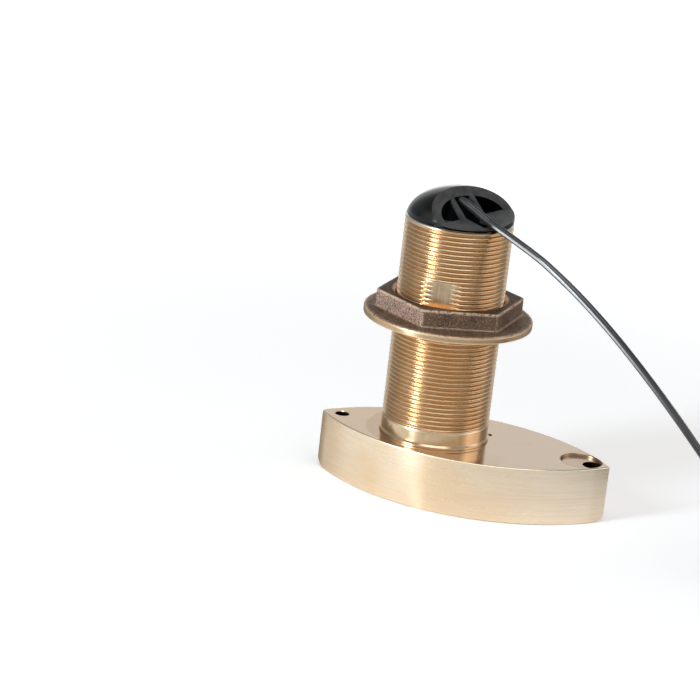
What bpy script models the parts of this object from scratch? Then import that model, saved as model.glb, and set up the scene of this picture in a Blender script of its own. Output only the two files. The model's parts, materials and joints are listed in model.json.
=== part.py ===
"""Bronze through-hull sonar transducer with its hull nut, cable cap and coiled cable.

All sizes are in metres. The origin is on the stem's axis at the flat acoustic face,
+Z runs up the stem and +X points to the longer tip of the base.
"""
import math

import bmesh
import bpy
from mathutils import Matrix, Vector

# Clearance between pieces that touch on the real part
GAP = 0.0003
# How far a cutter runs past the face that it cuts
OVERCUT = 0.002

# Sides of round forms, from the largest to the smallest
ROUND_STEPS = 60
MEDIUM_STEPS = 40
SMALL_STEPS = 32
PLUG_STEPS = 24
TINY_STEPS = 16
PIN_STEPS = 12

# Base casting
BASE_LEFT = 0.0559
BASE_RIGHT = 0.0861
BASE_HALF_WIDTH = 0.0337
BASE_HEIGHT = 0.0272
BASE_EDGE_CHAMFER = 0.0006
TIP_RADIUS_LEFT = 0.0024
TIP_RADIUS_RIGHT = 0.0010
LOWER_CORNER_LEFT = 0.0056
LOWER_CORNER_RIGHT = 0.0032
ARC_STEPS = 36
TIP_STEPS = 6
CORNER_STEPS = 8

# Cavity for the element, open at the acoustic face
CAVITY_WALL = 0.0045
CAVITY_ROOF = 0.0055
CAVITY_LEFT = 0.0330
CAVITY_RIGHT = 0.0610

# Bolt holes in the base's top face
LEFT_HOLE_X = -0.0456
LEFT_HOLE_RADIUS = 0.0034
LEFT_HOLE_DEPTH = 0.0150
COUNTERBORE_X = 0.0719
COUNTERBORE_Y = 0.0007
COUNTERBORE_RADIUS = 0.0097
COUNTERBORE_DEPTH = 0.0013
RIGHT_HOLE_X = 0.0773
RIGHT_HOLE_Y = 0.0010
RIGHT_HOLE_RADIUS = 0.0046
RIGHT_HOLE_DEPTH = 0.0160

# Stem
STEM_RADIUS = 0.0254
STEM_BORE_RADIUS = 0.0200
STEM_HEIGHT = 0.1058
STEM_SPIGOT_RADIUS = 0.0220
STEM_COLLAR_RADIUS = 0.0261
STEM_COLLAR_HEIGHT = 0.0009
STEM_RIM_CHAMFER = 0.0008
FLAT_DEPTH = 0.0018
FLAT_LOW = 0.0520
FLAT_HIGH = 0.0805
FLAT_ANGLE = math.radians(-87.2)

# Pin that locks the stem against turning in the base
LOCK_PIN_RADIUS = 0.0014
LOCK_PIN_DEPTH = 0.0050
LOCK_PIN_SUNK = 0.0004
LOCK_PIN_ANGLE = math.radians(24.2)
LOCK_PIN_OFFSET = 0.0267

# Hull nut
NUT_HEIGHT_ON_STEM = 0.0566
NUT_FLANGE_RADIUS = 0.0398
NUT_RIM_THICKNESS = 0.0031
NUT_RIM_CHAMFER = 0.0004
NUT_HEX_BASE = 0.0043
NUT_HEX_TOP = 0.0124
NUT_HEX_CORNER_RADIUS = 0.0353
NUT_HEX_CORNER_ANGLE = math.radians(23.6)
NUT_HEX_EDGE_ROUND = 0.0006
NUT_BORE_CHAMFER = 0.0016

# Cable cap
CAP_RADIUS = 0.0250
CAP_HEIGHT = 0.0149
CAP_DOME_POWER = 2.1
CAP_DOME_LEAN = 0.0027
CAP_WALL = 0.0020
CAP_RING_WIDTH = 0.0037
CAP_FACE_THICKNESS = 0.0018
CAP_FACING = math.radians(-40.8)
CAP_FACE_REACH = 0.0150
CAP_FACE_RUN = 1.114
CAP_SILL_HEIGHT = 0.0033
CAP_SILL_SLOPE = 0.156
CAP_SILL_TILT = 0.10
CAP_PLATE_THICKNESS = 0.0016
CAP_SPIGOT_DEPTH = 0.0070
CAP_SPIGOT_WALL = 0.0032
CAP_BAR_WIDTH = 0.0021
CAP_BAR_DEPTH = 0.0026
CAP_BAR_SETBACK = 0.0002
CAP_NOTCH_WIDTH = 0.0088
CAP_NOTCH_FLOOR = -0.0006
CAP_STEPS = 40
CAP_ROWS = 8

# Seal ring in the cap's spigot
SEAL_SECTION_RADIUS = 0.0009
SEAL_DEPTH = 0.0040
SEAL_SIDES = 8

# Cable channel in the cap: its direction and how far it lies beside the stem's axis
CHANNEL_ANGLE = math.radians(-27.05)
CHANNEL_OFFSET = -0.00315

# Strain relief, a moulded elbow that tapers along the cable
ELBOW_FOOT = -0.0045
ELBOW_BEND_RADIUS = 0.0070
ELBOW_TOP = 0.0089
ELBOW_DEPTH = 0.0090
ELBOW_RADIUS = 0.00205
ELBOW_TIP_RADIUS = 0.0019
# Points along the channel after the bend: distance along it and height over the stem's rim
ELBOW_RUN = ((0.0060, 0.0082), (0.0100, 0.0069), (0.0165, 0.0046), (0.0205, 0.0032))
ELBOW_STEPS = 6
ELBOW_SPACING = 0.0018

# Cable
CABLE_RADIUS = 0.0018
CABLE_SPACING = 0.0044
# Steps that a smooth curve is read in between two of its points
CURVE_STEPS = 24
# Route from the strain relief's end to the coil, chosen by hand
CABLE_ROUTE = (
    (0.0256, -0.0166, 0.1337),
    (0.0340, -0.0209, 0.1311),
    (0.0423, -0.0250, 0.1283),
    (0.0500, -0.0286, 0.1251),
    (0.0660, -0.0350, 0.1165),
    (0.0830, -0.0404, 0.1050),
    (0.1000, -0.0444, 0.0912),
    (0.1170, -0.0472, 0.0755),
    (0.1330, -0.0488, 0.0592),
    (0.1480, -0.0496, 0.0432),
    (0.1625, -0.0498, 0.0282),
    (0.1765, -0.0496, 0.0156),
    (0.1900, -0.0492, 0.0066),
    (0.2020, -0.0489, 0.0029),
    (0.2110, -0.0489, 0.0018),
)

# Coil of the stored cable, a ring that its turns fill
COIL_X = 0.2150
COIL_Y = 0.0
COIL_COLUMNS = 8
COIL_ROWS = 6
COIL_MIDDLE_RADIUS = 0.0324
COIL_EDGE_ROUND = 0.0016
TIE_THICKNESS = 0.0008
TIE_WIDTH = 0.0080
TIE_ANGLES = (math.radians(60.0), math.radians(180.0))

# Cable from the coil to the plug, chosen by hand
TAIL_ROUTE = (
    (0.2200, -0.0490, 0.0209),
    (0.2300, -0.0488, 0.0203),
    (0.2395, -0.0476, 0.0183),
    (0.2482, -0.0450, 0.0155),
    (0.2556, -0.0408, 0.0127),
    (0.2615, -0.0352, 0.0105),
    (0.2660, -0.0285, 0.0092),
    (0.2692, -0.0212, 0.0087),
    (0.2712, -0.0138, 0.0086),
    (0.2720, -0.0062, 0.0086),
)

# Plug at the cable's far end
PLUG_X = 0.2720
PLUG_Y = -0.0059
PLUG_RADIUS = 0.0086
PLUG_NECK_RADIUS = 0.0056
PLUG_BOOT_LENGTH = 0.0180
PLUG_BOOT_TIP_RADIUS = 0.0025
PLUG_BODY_LENGTH = 0.0320
PLUG_SHROUD_WALL = 0.0014
PLUG_SHROUD_DEPTH = 0.0090
PLUG_GRIP_COUNT = 3
PLUG_GRIP_PITCH = 0.0048
PLUG_GRIP_DEPTH = 0.0006
PLUG_PINS = 5
PLUG_PIN_RADIUS = 0.0008
PLUG_PIN_CIRCLE = 0.0047
PLUG_PIN_LENGTH = 0.0075

# Element stack in the cavity: its thicknesses are shares of the cavity's height
ELEMENT_X = 0.0140
WINDOW_SHARE = 0.230
CERAMIC_SHARE = 0.480
PAD_SHARE = 0.138
SENSOR_SHARE = 0.690
FILL_SHARE = 0.876
SLEEVE_THICKNESS = 0.0028
# Room between the ceramic and the cavity's wall, which takes the sleeve and the epoxy
CERAMIC_MARGIN = 0.0077

# Temperature sensor
SENSOR_X = 0.0510
SENSOR_RADIUS = 0.0024
SENSOR_WALL = 0.0006
BEAD_RADIUS = 0.0013

# Matching transformer and its board in the stem
POTTING_BELOW_RIM = 0.0093
POCKET_RADIUS = 0.0143
CORE_TOP_BELOW_RIM = 0.0620
CORE_HALF_HEIGHT = 0.0070
CORE_POST_RADIUS = 0.0052
CORE_WALL = 0.0026
CORE_FLOOR = 0.0022
BOBBIN_WALL = 0.0008
BOARD_THICKNESS = 0.0016
LEAD_RADIUS = 0.0006
LEAD_SPACING = 0.0030
# Leads from the ceramic: where they meet it beside its middle and where they reach the board
LEAD_SETBACK = 0.0060
LEAD_SPREAD = 0.0030
LEAD_BOARD_X = 0.0030
# Heights over the ceramic and below the board at which those leads stand upright
LEAD_RISE = 0.0060
LEAD_LEAN_HEIGHT = 0.0150
LEAD_LEAN = 0.0020
LEAD_UPRIGHT = 0.0080
# Sensor lead: how it turns out of its thimble, then (x, height over the fill) towards the board
SENSOR_LEAD_TURN = ((0.0006, -0.0012), (0.0028, 0.0))
SENSOR_LEAD_RUN = ((0.0350, 0.0), (0.0200, 0.0006), (0.0120, 0.0050), (0.0090, 0.0140))

# Values that follow from the ones above
RIM_Z = BASE_HEIGHT + STEM_HEIGHT
LENS_MIDDLE_X = (BASE_RIGHT - BASE_LEFT) / 2
LENS_HALF_LENGTH = (BASE_RIGHT + BASE_LEFT) / 2
LENS_RADIUS = (LENS_HALF_LENGTH ** 2 + BASE_HALF_WIDTH ** 2) / (2 * BASE_HALF_WIDTH)
CAVITY_TOP = BASE_HEIGHT - CAVITY_ROOF
WINDOW_THICKNESS = WINDOW_SHARE * CAVITY_TOP
CERAMIC_THICKNESS = CERAMIC_SHARE * CAVITY_TOP
PAD_THICKNESS = PAD_SHARE * CAVITY_TOP
SENSOR_TOP = SENSOR_SHARE * CAVITY_TOP
FILL_TOP = FILL_SHARE * CAVITY_TOP
CERAMIC_RADIUS = BASE_HALF_WIDTH - CAVITY_WALL - CERAMIC_MARGIN
CABLE_DIAMETER = 2 * CABLE_RADIUS


# Scene and materials

def clear_scene():
    for item in list(bpy.data.objects):
        bpy.data.objects.remove(item, do_unlink=True)


def make_material(name, colour, roughness, metallic=0.0):
    material = bpy.data.materials.new(name)
    material.use_nodes = True
    shader = material.node_tree.nodes["Principled BSDF"]
    shader.inputs["Base Color"].default_value = (*colour, 1.0)
    shader.inputs["Roughness"].default_value = roughness
    shader.inputs["Metallic"].default_value = metallic
    material.diffuse_color = (*colour, 1.0)
    return material


# Mesh helpers

def add_object(name, bm, material=None, place=(0.0, 0.0, 0.0), smooth=True):
    bmesh.ops.remove_doubles(bm, verts=bm.verts, dist=1e-7)
    bmesh.ops.recalc_face_normals(bm, faces=bm.faces)
    mesh = bpy.data.meshes.new(name)
    bm.to_mesh(mesh)
    bm.free()
    item = bpy.data.objects.new(name, mesh)
    item.location = place
    bpy.context.collection.objects.link(item)
    if material is not None:
        mesh.materials.append(material)
    if smooth:
        mesh.shade_smooth()
        mesh.set_sharp_from_angle(angle=math.radians(30.0))
    return item


def hide_tool(item):
    item.hide_render = True
    item.display_type = "WIRE"
    return item


def combine(target, tool, operation="DIFFERENCE"):
    hide_tool(tool)
    modifier = target.modifiers.new(operation.title() + " " + tool.name, "BOOLEAN")
    modifier.operation = operation
    modifier.solver = "EXACT"
    modifier.object = tool
    return target


def revolved(points, steps=ROUND_STEPS, closed=True):
    """Turn a profile of (radius, height) points about the Z axis."""
    bm = bmesh.new()
    verts = [bm.verts.new((radius, 0.0, height)) for radius, height in points]
    edges = [bm.edges.new(pair) for pair in zip(verts, verts[1:])]
    if closed:
        edges.append(bm.edges.new((verts[-1], verts[0])))
    bmesh.ops.spin(
        bm, geom=verts + edges, axis=(0.0, 0.0, 1.0), cent=(0.0, 0.0, 0.0),
        angle=2 * math.pi, steps=steps, use_merge=True,
    )
    bmesh.ops.remove_doubles(bm, verts=bm.verts, dist=1e-7)
    return bm


def disc(radius, low, high, steps=ROUND_STEPS):
    """A plain round solid between two heights."""
    points = ((0.0, low), (radius, low), (radius, high), (0.0, high))
    return revolved(points, steps, closed=False)


def ring(inner, outer, low, high, steps=ROUND_STEPS):
    return revolved(((inner, low), (outer, low), (outer, high), (inner, high)), steps)


def lofted(sections):
    """Join outlines of equal point counts, each given as (outline, height)."""
    bm = bmesh.new()
    loops = [[bm.verts.new((x, y, height)) for x, y in outline] for outline, height in sections]
    count = len(loops[0])
    for lower, upper in zip(loops, loops[1:]):
        for index in range(count):
            after = (index + 1) % count
            bm.faces.new((lower[index], lower[after], upper[after], upper[index]))
    bm.faces.new(loops[0])
    bm.faces.new(loops[-1])
    return bm


def between_sides(near, far, half_width):
    """A solid between a profile at -Y and one at +Y, each of (x, z) points."""
    bm = bmesh.new()
    near_loop = [bm.verts.new((x, -half_width, z)) for x, z in near]
    far_loop = [bm.verts.new((x, half_width, z)) for x, z in far]
    bm.faces.new(near_loop)
    bm.faces.new(far_loop)
    for index, vert in enumerate(near_loop):
        bm.faces.new((vert, near_loop[index - 1], far_loop[index - 1], far_loop[index]))
    bmesh.ops.recalc_face_normals(bm, faces=bm.faces)
    return bm


def extruded_side(points, half_width):
    """A solid with the same (x, z) profile all across its width."""
    return between_sides(points, points, half_width)


def smooth_route(points, spacing):
    """Read evenly spaced points from a smooth curve through the given points."""
    anchors = [Vector(point) for point in points]
    anchors = [2 * anchors[0] - anchors[1]] + anchors + [2 * anchors[-1] - anchors[-2]]
    fine = []
    for p0, p1, p2, p3 in zip(anchors, anchors[1:], anchors[2:], anchors[3:]):
        for step in range(CURVE_STEPS):
            t = step / CURVE_STEPS
            fine.append(0.5 * (
                2 * p1 + (p2 - p0) * t
                + (2 * p0 - 5 * p1 + 4 * p2 - p3) * t ** 2
                + (3 * p1 - p0 - 3 * p2 + p3) * t ** 3
            ))
    fine.append(anchors[-2])
    lengths = [0.0]
    for before, after in zip(fine, fine[1:]):
        lengths.append(lengths[-1] + (after - before).length)
    count = max(2, round(lengths[-1] / spacing))
    route = []
    place = 0
    for number in range(count + 1):
        wanted = lengths[-1] * number / count
        while place < len(lengths) - 2 and lengths[place + 1] < wanted:
            place += 1
        share = (wanted - lengths[place]) / (lengths[place + 1] - lengths[place])
        route.append(fine[place].lerp(fine[place + 1], share))
    return route


def tube_along(name, route, radius, material, sides=2, end_radius=None):
    """A round cord along a route, made as a bevelled curve with closed ends."""
    data = bpy.data.curves.new(name, "CURVE")
    data.dimensions = "3D"
    data.bevel_depth = radius
    data.bevel_resolution = sides
    data.use_fill_caps = True
    spline = data.splines.new("POLY")
    spline.points.add(len(route) - 1)
    for number, (point, place) in enumerate(zip(spline.points, route)):
        point.co = (*place, 1.0)
        if end_radius is not None:
            share = number / (len(route) - 1)
            point.radius = 1.0 + share * (end_radius / radius - 1.0)
    data.materials.append(material)
    item = bpy.data.objects.new(name, data)
    bpy.context.collection.objects.link(item)
    return item


# Base casting

def tip_centre(tip_radius):
    """Distance from the lens middle to the centre of a tip's rounding circle."""
    drop = LENS_RADIUS - BASE_HALF_WIDTH
    return math.sqrt((LENS_RADIUS - tip_radius) ** 2 - drop ** 2)


def base_outline(inset=0.0):
    """Two large arcs that meet in two small tip arcs, moved inwards by inset."""
    drop = LENS_RADIUS - BASE_HALF_WIDTH
    right = tip_centre(TIP_RADIUS_RIGHT)
    left = tip_centre(TIP_RADIUS_LEFT)
    right_angle = math.atan2(drop, right)
    left_angle = math.pi - math.atan2(drop, left)
    points = []
    for step in range(ARC_STEPS):
        angle = right_angle + (left_angle - right_angle) * step / ARC_STEPS
        radius = LENS_RADIUS - inset
        points.append((LENS_MIDDLE_X + radius * math.cos(angle), radius * math.sin(angle) - drop))
    for step in range(TIP_STEPS):
        angle = left_angle + 2 * (math.pi - left_angle) * step / TIP_STEPS
        radius = TIP_RADIUS_LEFT - inset
        points.append((LENS_MIDDLE_X - left + radius * math.cos(angle), radius * math.sin(angle)))
    for step in range(ARC_STEPS):
        angle = left_angle + (right_angle - left_angle) * step / ARC_STEPS
        radius = LENS_RADIUS - inset
        points.append((LENS_MIDDLE_X + radius * math.cos(angle), drop - radius * math.sin(angle)))
    for step in range(TIP_STEPS):
        angle = -right_angle + 2 * right_angle * step / TIP_STEPS
        radius = TIP_RADIUS_RIGHT - inset
        points.append((LENS_MIDDLE_X + right + radius * math.cos(angle), radius * math.sin(angle)))
    return points


def cavity_outline(inset=0.0):
    """The lens inside the wall, ended square before the bolt holes."""
    drop = LENS_RADIUS - BASE_HALF_WIDTH
    radius = LENS_RADIUS - CAVITY_WALL - inset
    right = CAVITY_RIGHT - inset
    left = -CAVITY_LEFT + inset
    steps = ARC_STEPS // 2
    upper = []
    for step in range(steps + 1):
        x = right + (left - right) * step / steps
        upper.append((x, math.sqrt(radius ** 2 - (x - LENS_MIDDLE_X) ** 2) - drop))
    return upper + [(x, -y) for x, y in reversed(upper)]


def corner_tool(name, tip_x, radius, side):
    """What a rounded lower corner takes away, with side +1 for the right tip."""
    centre_x = tip_x - side * radius
    points = [(tip_x + side * OVERCUT, -OVERCUT), (centre_x, -OVERCUT)]
    for step in range(CORNER_STEPS + 1):
        angle = math.pi / 2 * step / CORNER_STEPS
        points.append((centre_x + side * radius * math.sin(angle), radius * (1 - math.cos(angle))))
    points.append((tip_x + side * OVERCUT, radius))
    return add_object(name, extruded_side(points, BASE_HALF_WIDTH), smooth=False)


def round_tool(name, radius, low, high, x=0.0, y=0.0, steps=SMALL_STEPS):
    return add_object(name, disc(radius, low, high, steps), place=(x, y, 0.0), smooth=False)


def lock_pin_place():
    return (LOCK_PIN_OFFSET * math.cos(LOCK_PIN_ANGLE), LOCK_PIN_OFFSET * math.sin(LOCK_PIN_ANGLE))


def build_housing(bronze):
    sections = (
        (base_outline(), 0.0),
        (base_outline(), BASE_HEIGHT - BASE_EDGE_CHAMFER),
        (base_outline(BASE_EDGE_CHAMFER), BASE_HEIGHT),
    )
    housing = add_object("housing", lofted(sections), bronze)
    left_tip = LENS_MIDDLE_X - tip_centre(TIP_RADIUS_LEFT) - TIP_RADIUS_LEFT
    right_tip = LENS_MIDDLE_X + tip_centre(TIP_RADIUS_RIGHT) + TIP_RADIUS_RIGHT
    combine(housing, corner_tool("corner_left_tool", left_tip, LOWER_CORNER_LEFT, -1))
    combine(housing, corner_tool("corner_right_tool", right_tip, LOWER_CORNER_RIGHT, 1))
    cavity = lofted(((cavity_outline(), -OVERCUT), (cavity_outline(), CAVITY_TOP)))
    combine(housing, add_object("cavity_tool", cavity, smooth=False))
    over = BASE_HEIGHT + OVERCUT
    combine(housing, round_tool(
        "stem_seat_tool", STEM_SPIGOT_RADIUS + GAP, CAVITY_TOP - OVERCUT, over, steps=ROUND_STEPS,
    ))
    combine(housing, round_tool(
        "left_hole_tool", LEFT_HOLE_RADIUS, BASE_HEIGHT - LEFT_HOLE_DEPTH, over, LEFT_HOLE_X,
    ))
    combine(housing, round_tool(
        "counterbore_tool", COUNTERBORE_RADIUS, BASE_HEIGHT - COUNTERBORE_DEPTH, over,
        COUNTERBORE_X, COUNTERBORE_Y, MEDIUM_STEPS,
    ))
    combine(housing, round_tool(
        "right_hole_tool", RIGHT_HOLE_RADIUS, BASE_HEIGHT - RIGHT_HOLE_DEPTH, over, RIGHT_HOLE_X,
        RIGHT_HOLE_Y,
    ))
    combine(housing, round_tool(
        "lock_hole_tool", LOCK_PIN_RADIUS + GAP, BASE_HEIGHT - LOCK_PIN_DEPTH - GAP, over,
        *lock_pin_place(), TINY_STEPS,
    ))
    return housing


# Stem and its lock pin

def build_stem(bronze):
    foot = BASE_HEIGHT + GAP
    profile = (
        (STEM_BORE_RADIUS, CAVITY_TOP + GAP),
        (STEM_SPIGOT_RADIUS, CAVITY_TOP + GAP),
        (STEM_SPIGOT_RADIUS, foot),
        (STEM_COLLAR_RADIUS, foot),
        (STEM_COLLAR_RADIUS, foot + STEM_COLLAR_HEIGHT),
        (STEM_RADIUS, foot + STEM_COLLAR_HEIGHT + (STEM_COLLAR_RADIUS - STEM_RADIUS)),
        (STEM_RADIUS, RIM_Z - STEM_RIM_CHAMFER),
        (STEM_RADIUS - STEM_RIM_CHAMFER, RIM_Z),
        (STEM_BORE_RADIUS, RIM_Z),
    )
    stem = add_object("stem", revolved(profile), bronze)
    middle = (FLAT_LOW + FLAT_HIGH) / 2
    half = (FLAT_HIGH - FLAT_LOW) / 2
    box = extruded_side(
        ((-OVERCUT, -half), (FLAT_DEPTH, -half), (FLAT_DEPTH, half), (-OVERCUT, half)), STEM_RADIUS,
    )
    bmesh.ops.rotate(box, verts=box.verts, matrix=Matrix.Rotation(FLAT_ANGLE + math.pi, 3, "Z"))
    away = Vector((math.cos(FLAT_ANGLE), math.sin(FLAT_ANGLE), 0.0)) * STEM_RADIUS
    place = away + Vector((0.0, 0.0, BASE_HEIGHT + middle))
    combine(stem, add_object("flat_tool", box, place=place, smooth=False))
    combine(stem, round_tool(
        "lock_notch_tool", LOCK_PIN_RADIUS + GAP, BASE_HEIGHT, foot + STEM_COLLAR_HEIGHT + OVERCUT,
        *lock_pin_place(), TINY_STEPS,
    ))
    return stem


def build_lock_pin(steel):
    low = BASE_HEIGHT - LOCK_PIN_DEPTH
    high = BASE_HEIGHT - LOCK_PIN_SUNK
    x, y = lock_pin_place()
    pin = disc(LOCK_PIN_RADIUS, low, high, TINY_STEPS)
    return add_object("stem_lock_pin", pin, steel, (x, y, 0.0))


# Hull nut

def build_hull_nut(bronze):
    bore = STEM_RADIUS + GAP
    chamfer = NUT_RIM_CHAMFER
    hex_flat = NUT_HEX_CORNER_RADIUS * math.cos(math.pi / 6)
    flange = (
        (bore, 0.0),
        (NUT_FLANGE_RADIUS - chamfer, 0.0),
        (NUT_FLANGE_RADIUS, chamfer),
        (NUT_FLANGE_RADIUS, NUT_RIM_THICKNESS - chamfer),
        (NUT_FLANGE_RADIUS - chamfer, NUT_RIM_THICKNESS),
        (hex_flat, NUT_HEX_BASE),
        (bore, NUT_HEX_BASE),
    )
    place = (0.0, 0.0, BASE_HEIGHT + NUT_HEIGHT_ON_STEM)
    nut = add_object("hull_nut", revolved(flange), bronze, place)
    outline = []
    for corner in range(6):
        angle = NUT_HEX_CORNER_ANGLE + corner * math.pi / 3
        outline.append((NUT_HEX_CORNER_RADIUS * math.cos(angle), NUT_HEX_CORNER_RADIUS * math.sin(angle)))
    hexagon = add_object(
        "hexagon_tool", lofted(((outline, NUT_RIM_THICKNESS / 2), (outline, NUT_HEX_TOP))),
        place=place, smooth=False,
    )
    rounding = hexagon.modifiers.new("Worn edges", "BEVEL")
    rounding.width = NUT_HEX_EDGE_ROUND
    rounding.segments = 2
    rounding.limit_method = "ANGLE"
    combine(nut, hexagon, "UNION")
    bore_profile = (
        (0.0, -OVERCUT),
        (bore, -OVERCUT),
        (bore, NUT_HEX_TOP - NUT_BORE_CHAMFER),
        (bore + NUT_BORE_CHAMFER + OVERCUT, NUT_HEX_TOP + OVERCUT),
        (0.0, NUT_HEX_TOP + OVERCUT),
    )
    tool = add_object("nut_bore_tool", revolved(bore_profile, closed=False), place=place, smooth=False)
    combine(nut, tool)
    return nut


# Cable cap

def dome_mesh(inset, low, foot=()):
    """Dome that leans a little towards its opening; inset makes it smaller all round.

    It stands on the foot, a turned outline from the axis out, or is closed flat at low.
    """
    radius = CAP_RADIUS - inset
    height = CAP_HEIGHT - inset
    rim = radius * (1 - (low / height) ** CAP_DOME_POWER) ** (1 / CAP_DOME_POWER)
    profile = list(foot) or [(0.0, low)]
    profile.append((rim, low))
    for row in range(1, CAP_ROWS):
        share = math.pi / 2 * row / CAP_ROWS
        out = radius * math.cos(share) ** (2 / CAP_DOME_POWER)
        up = height * math.sin(share) ** (2 / CAP_DOME_POWER)
        if up > low + GAP:
            profile.append((out, up))
    profile.append((0.0, height))
    bm = revolved(profile, CAP_STEPS, closed=False)
    for vert in bm.verts:
        share = min(max(vert.co.z / CAP_HEIGHT, 0.0), 1.0)
        vert.co.x += CAP_DOME_LEAN * (1 - (1 - share) ** 2)
    return bm


def spigot_outline():
    """The cap's foot, which plugs into the stem, with the groove for the seal ring."""
    outer = STEM_BORE_RADIUS - GAP
    groove = outer - 2 * SEAL_SECTION_RADIUS - GAP
    half = SEAL_SECTION_RADIUS + GAP
    return (
        (0.0, -CAP_SPIGOT_DEPTH), (outer, -CAP_SPIGOT_DEPTH), (outer, -SEAL_DEPTH - half),
        (groove, -SEAL_DEPTH - half), (groove, -SEAL_DEPTH + half), (outer, -SEAL_DEPTH + half),
        (outer, GAP),
    )


def face_x(height):
    """Where the slanted face stands at a height over the stem's rim."""
    return CAP_FACE_REACH - CAP_FACE_RUN * height


def cap_tool(name, bm):
    tool = add_object(name, bm, place=(0.0, 0.0, RIM_Z), smooth=False)
    tool.rotation_euler.z = CAP_FACING
    return tool


def sill_height(y):
    """The sill's inner edge climbs from one side of the cap to the other."""
    return CAP_SILL_HEIGHT + CAP_SILL_TILT * y


def face_tool(name, back=0.0):
    """Space in front of the slanted face, moved back into the cap by a distance along X."""
    far = 2 * CAP_RADIUS

    def side(y):
        height = sill_height(y)
        fold_x = face_x(height)
        return (
            (fold_x - back, height),
            (far, height - CAP_SILL_SLOPE * (far - fold_x)),
            (far, far),
            (face_x(far) - back, far),
        )

    return cap_tool(name, between_sides(side(-far), side(far), far))


def front_block(name, setback):
    """Everything in front of the sill's inner edge, or of a plane set back from it."""
    far = 2 * CAP_RADIUS

    def side(y):
        start = face_x(sill_height(y)) - setback
        return ((start, -far), (far, -far), (far, far), (start, far))

    return cap_tool(name, between_sides(side(-far), side(far), far))


def inner_dome_tool(name, inset, low, setback=0.0):
    """Hollow behind the sill's edge."""
    return combine(cap_tool(name, dome_mesh(inset, low)), front_block(name + "_front", setback))


def channel_tool(name, bm, across):
    """Place a mesh, whose +X runs along the cable channel, beside the channel's middle."""
    sideways = CHANNEL_OFFSET + across
    place = (-sideways * math.sin(CHANNEL_ANGLE), sideways * math.cos(CHANNEL_ANGLE), RIM_Z)
    tool = add_object(name, bm, place=place, smooth=False)
    tool.rotation_euler.z = CHANNEL_ANGLE
    return tool


def bar_tool(name, across):
    """A bar between two windows; the slanted face trims its front."""
    top = CAP_HEIGHT - CAP_WALL
    back = CAP_BAR_DEPTH * math.hypot(1.0, CAP_FACE_RUN)
    points = (
        (face_x(CAP_PLATE_THICKNESS) - back, CAP_PLATE_THICKNESS / 2),
        (CAP_FACE_REACH + OVERCUT, CAP_PLATE_THICKNESS / 2),
        (face_x(top) + 2 * back, top),
        (face_x(top) - back, top),
    )
    return channel_tool(name, extruded_side(points, CAP_BAR_WIDTH / 2), across)


def build_cap(plastic):
    cap = add_object("cable_cap", dome_mesh(0.0, GAP, spigot_outline()), plastic, (0.0, 0.0, RIM_Z))
    cap.rotation_euler.z = CAP_FACING
    hollow = inner_dome_tool("hollow_tool", CAP_WALL, CAP_PLATE_THICKNESS)
    combine(hollow, face_tool("face_back_tool", CAP_FACE_THICKNESS * math.hypot(1.0, CAP_FACE_RUN)))
    combine(cap, hollow)
    combine(cap, inner_dome_tool("window_tool", CAP_RING_WIDTH, CAP_PLATE_THICKNESS + GAP, GAP))
    bar_place = (CAP_NOTCH_WIDTH + CAP_BAR_WIDTH) / 2 + CAP_BAR_SETBACK
    combine(cap, bar_tool("left_bar_tool", -bar_place), "UNION")
    combine(cap, bar_tool("right_bar_tool", bar_place), "UNION")
    combine(cap, face_tool("face_tool"))
    bore = STEM_BORE_RADIUS - GAP - CAP_SPIGOT_WALL
    combine(cap, cap_tool("spigot_bore_tool", disc(bore, -CAP_SPIGOT_DEPTH - OVERCUT, 0.0, CAP_STEPS)))
    plate_bore = cap_tool("plate_bore_tool", disc(bore - GAP, -GAP, CAP_PLATE_THICKNESS + GAP, CAP_STEPS))
    combine(cap, combine(plate_bore, front_block("plate_bore_front", 2 * GAP)))
    notch = (
        (ELBOW_RUN[1][0], CAP_NOTCH_FLOOR),
        (2 * CAP_RADIUS, CAP_NOTCH_FLOOR),
        (2 * CAP_RADIUS, CAP_RADIUS),
        (ELBOW_RUN[1][0], CAP_SILL_HEIGHT + CAP_SILL_SLOPE * CAP_RADIUS),
    )
    combine(cap, channel_tool("notch_tool", extruded_side(notch, CAP_NOTCH_WIDTH / 2), 0.0))
    return cap


def build_seal(rubber):
    centre = STEM_BORE_RADIUS - GAP - SEAL_SECTION_RADIUS
    points = []
    for step in range(SEAL_SIDES):
        angle = 2 * math.pi * step / SEAL_SIDES
        points.append((
            centre + SEAL_SECTION_RADIUS * math.cos(angle), SEAL_SECTION_RADIUS * math.sin(angle),
        ))
    return add_object("cap_seal_ring", revolved(points, SMALL_STEPS), rubber, (0.0, 0.0, RIM_Z - SEAL_DEPTH))


# Strain relief and cable

def channel_point(along, height):
    """A point in the upright plane of the cable channel, height taken from the stem's rim."""
    forward = Vector((math.cos(CHANNEL_ANGLE), math.sin(CHANNEL_ANGLE), 0.0))
    sideways = Vector((-forward.y, forward.x, 0.0))
    place = forward * along + sideways * CHANNEL_OFFSET
    place.z = RIM_Z + height
    return place


def elbow_route():
    points = [channel_point(ELBOW_FOOT, -ELBOW_DEPTH)]
    centre_height = ELBOW_TOP - ELBOW_BEND_RADIUS
    points.append(channel_point(ELBOW_FOOT, (centre_height - ELBOW_DEPTH) / 2))
    for step in range(ELBOW_STEPS + 1):
        angle = math.pi / 2 * step / ELBOW_STEPS
        along = ELBOW_FOOT + ELBOW_BEND_RADIUS * (1 - math.cos(angle))
        points.append(channel_point(along, centre_height + ELBOW_BEND_RADIUS * math.sin(angle)))
    points += [channel_point(along, height) for along, height in ELBOW_RUN]
    return smooth_route(points, ELBOW_SPACING)


def build_strain_relief(rubber):
    return tube_along(
        "strain_relief", elbow_route(), ELBOW_RADIUS, rubber, end_radius=ELBOW_TIP_RADIUS,
    )


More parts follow.
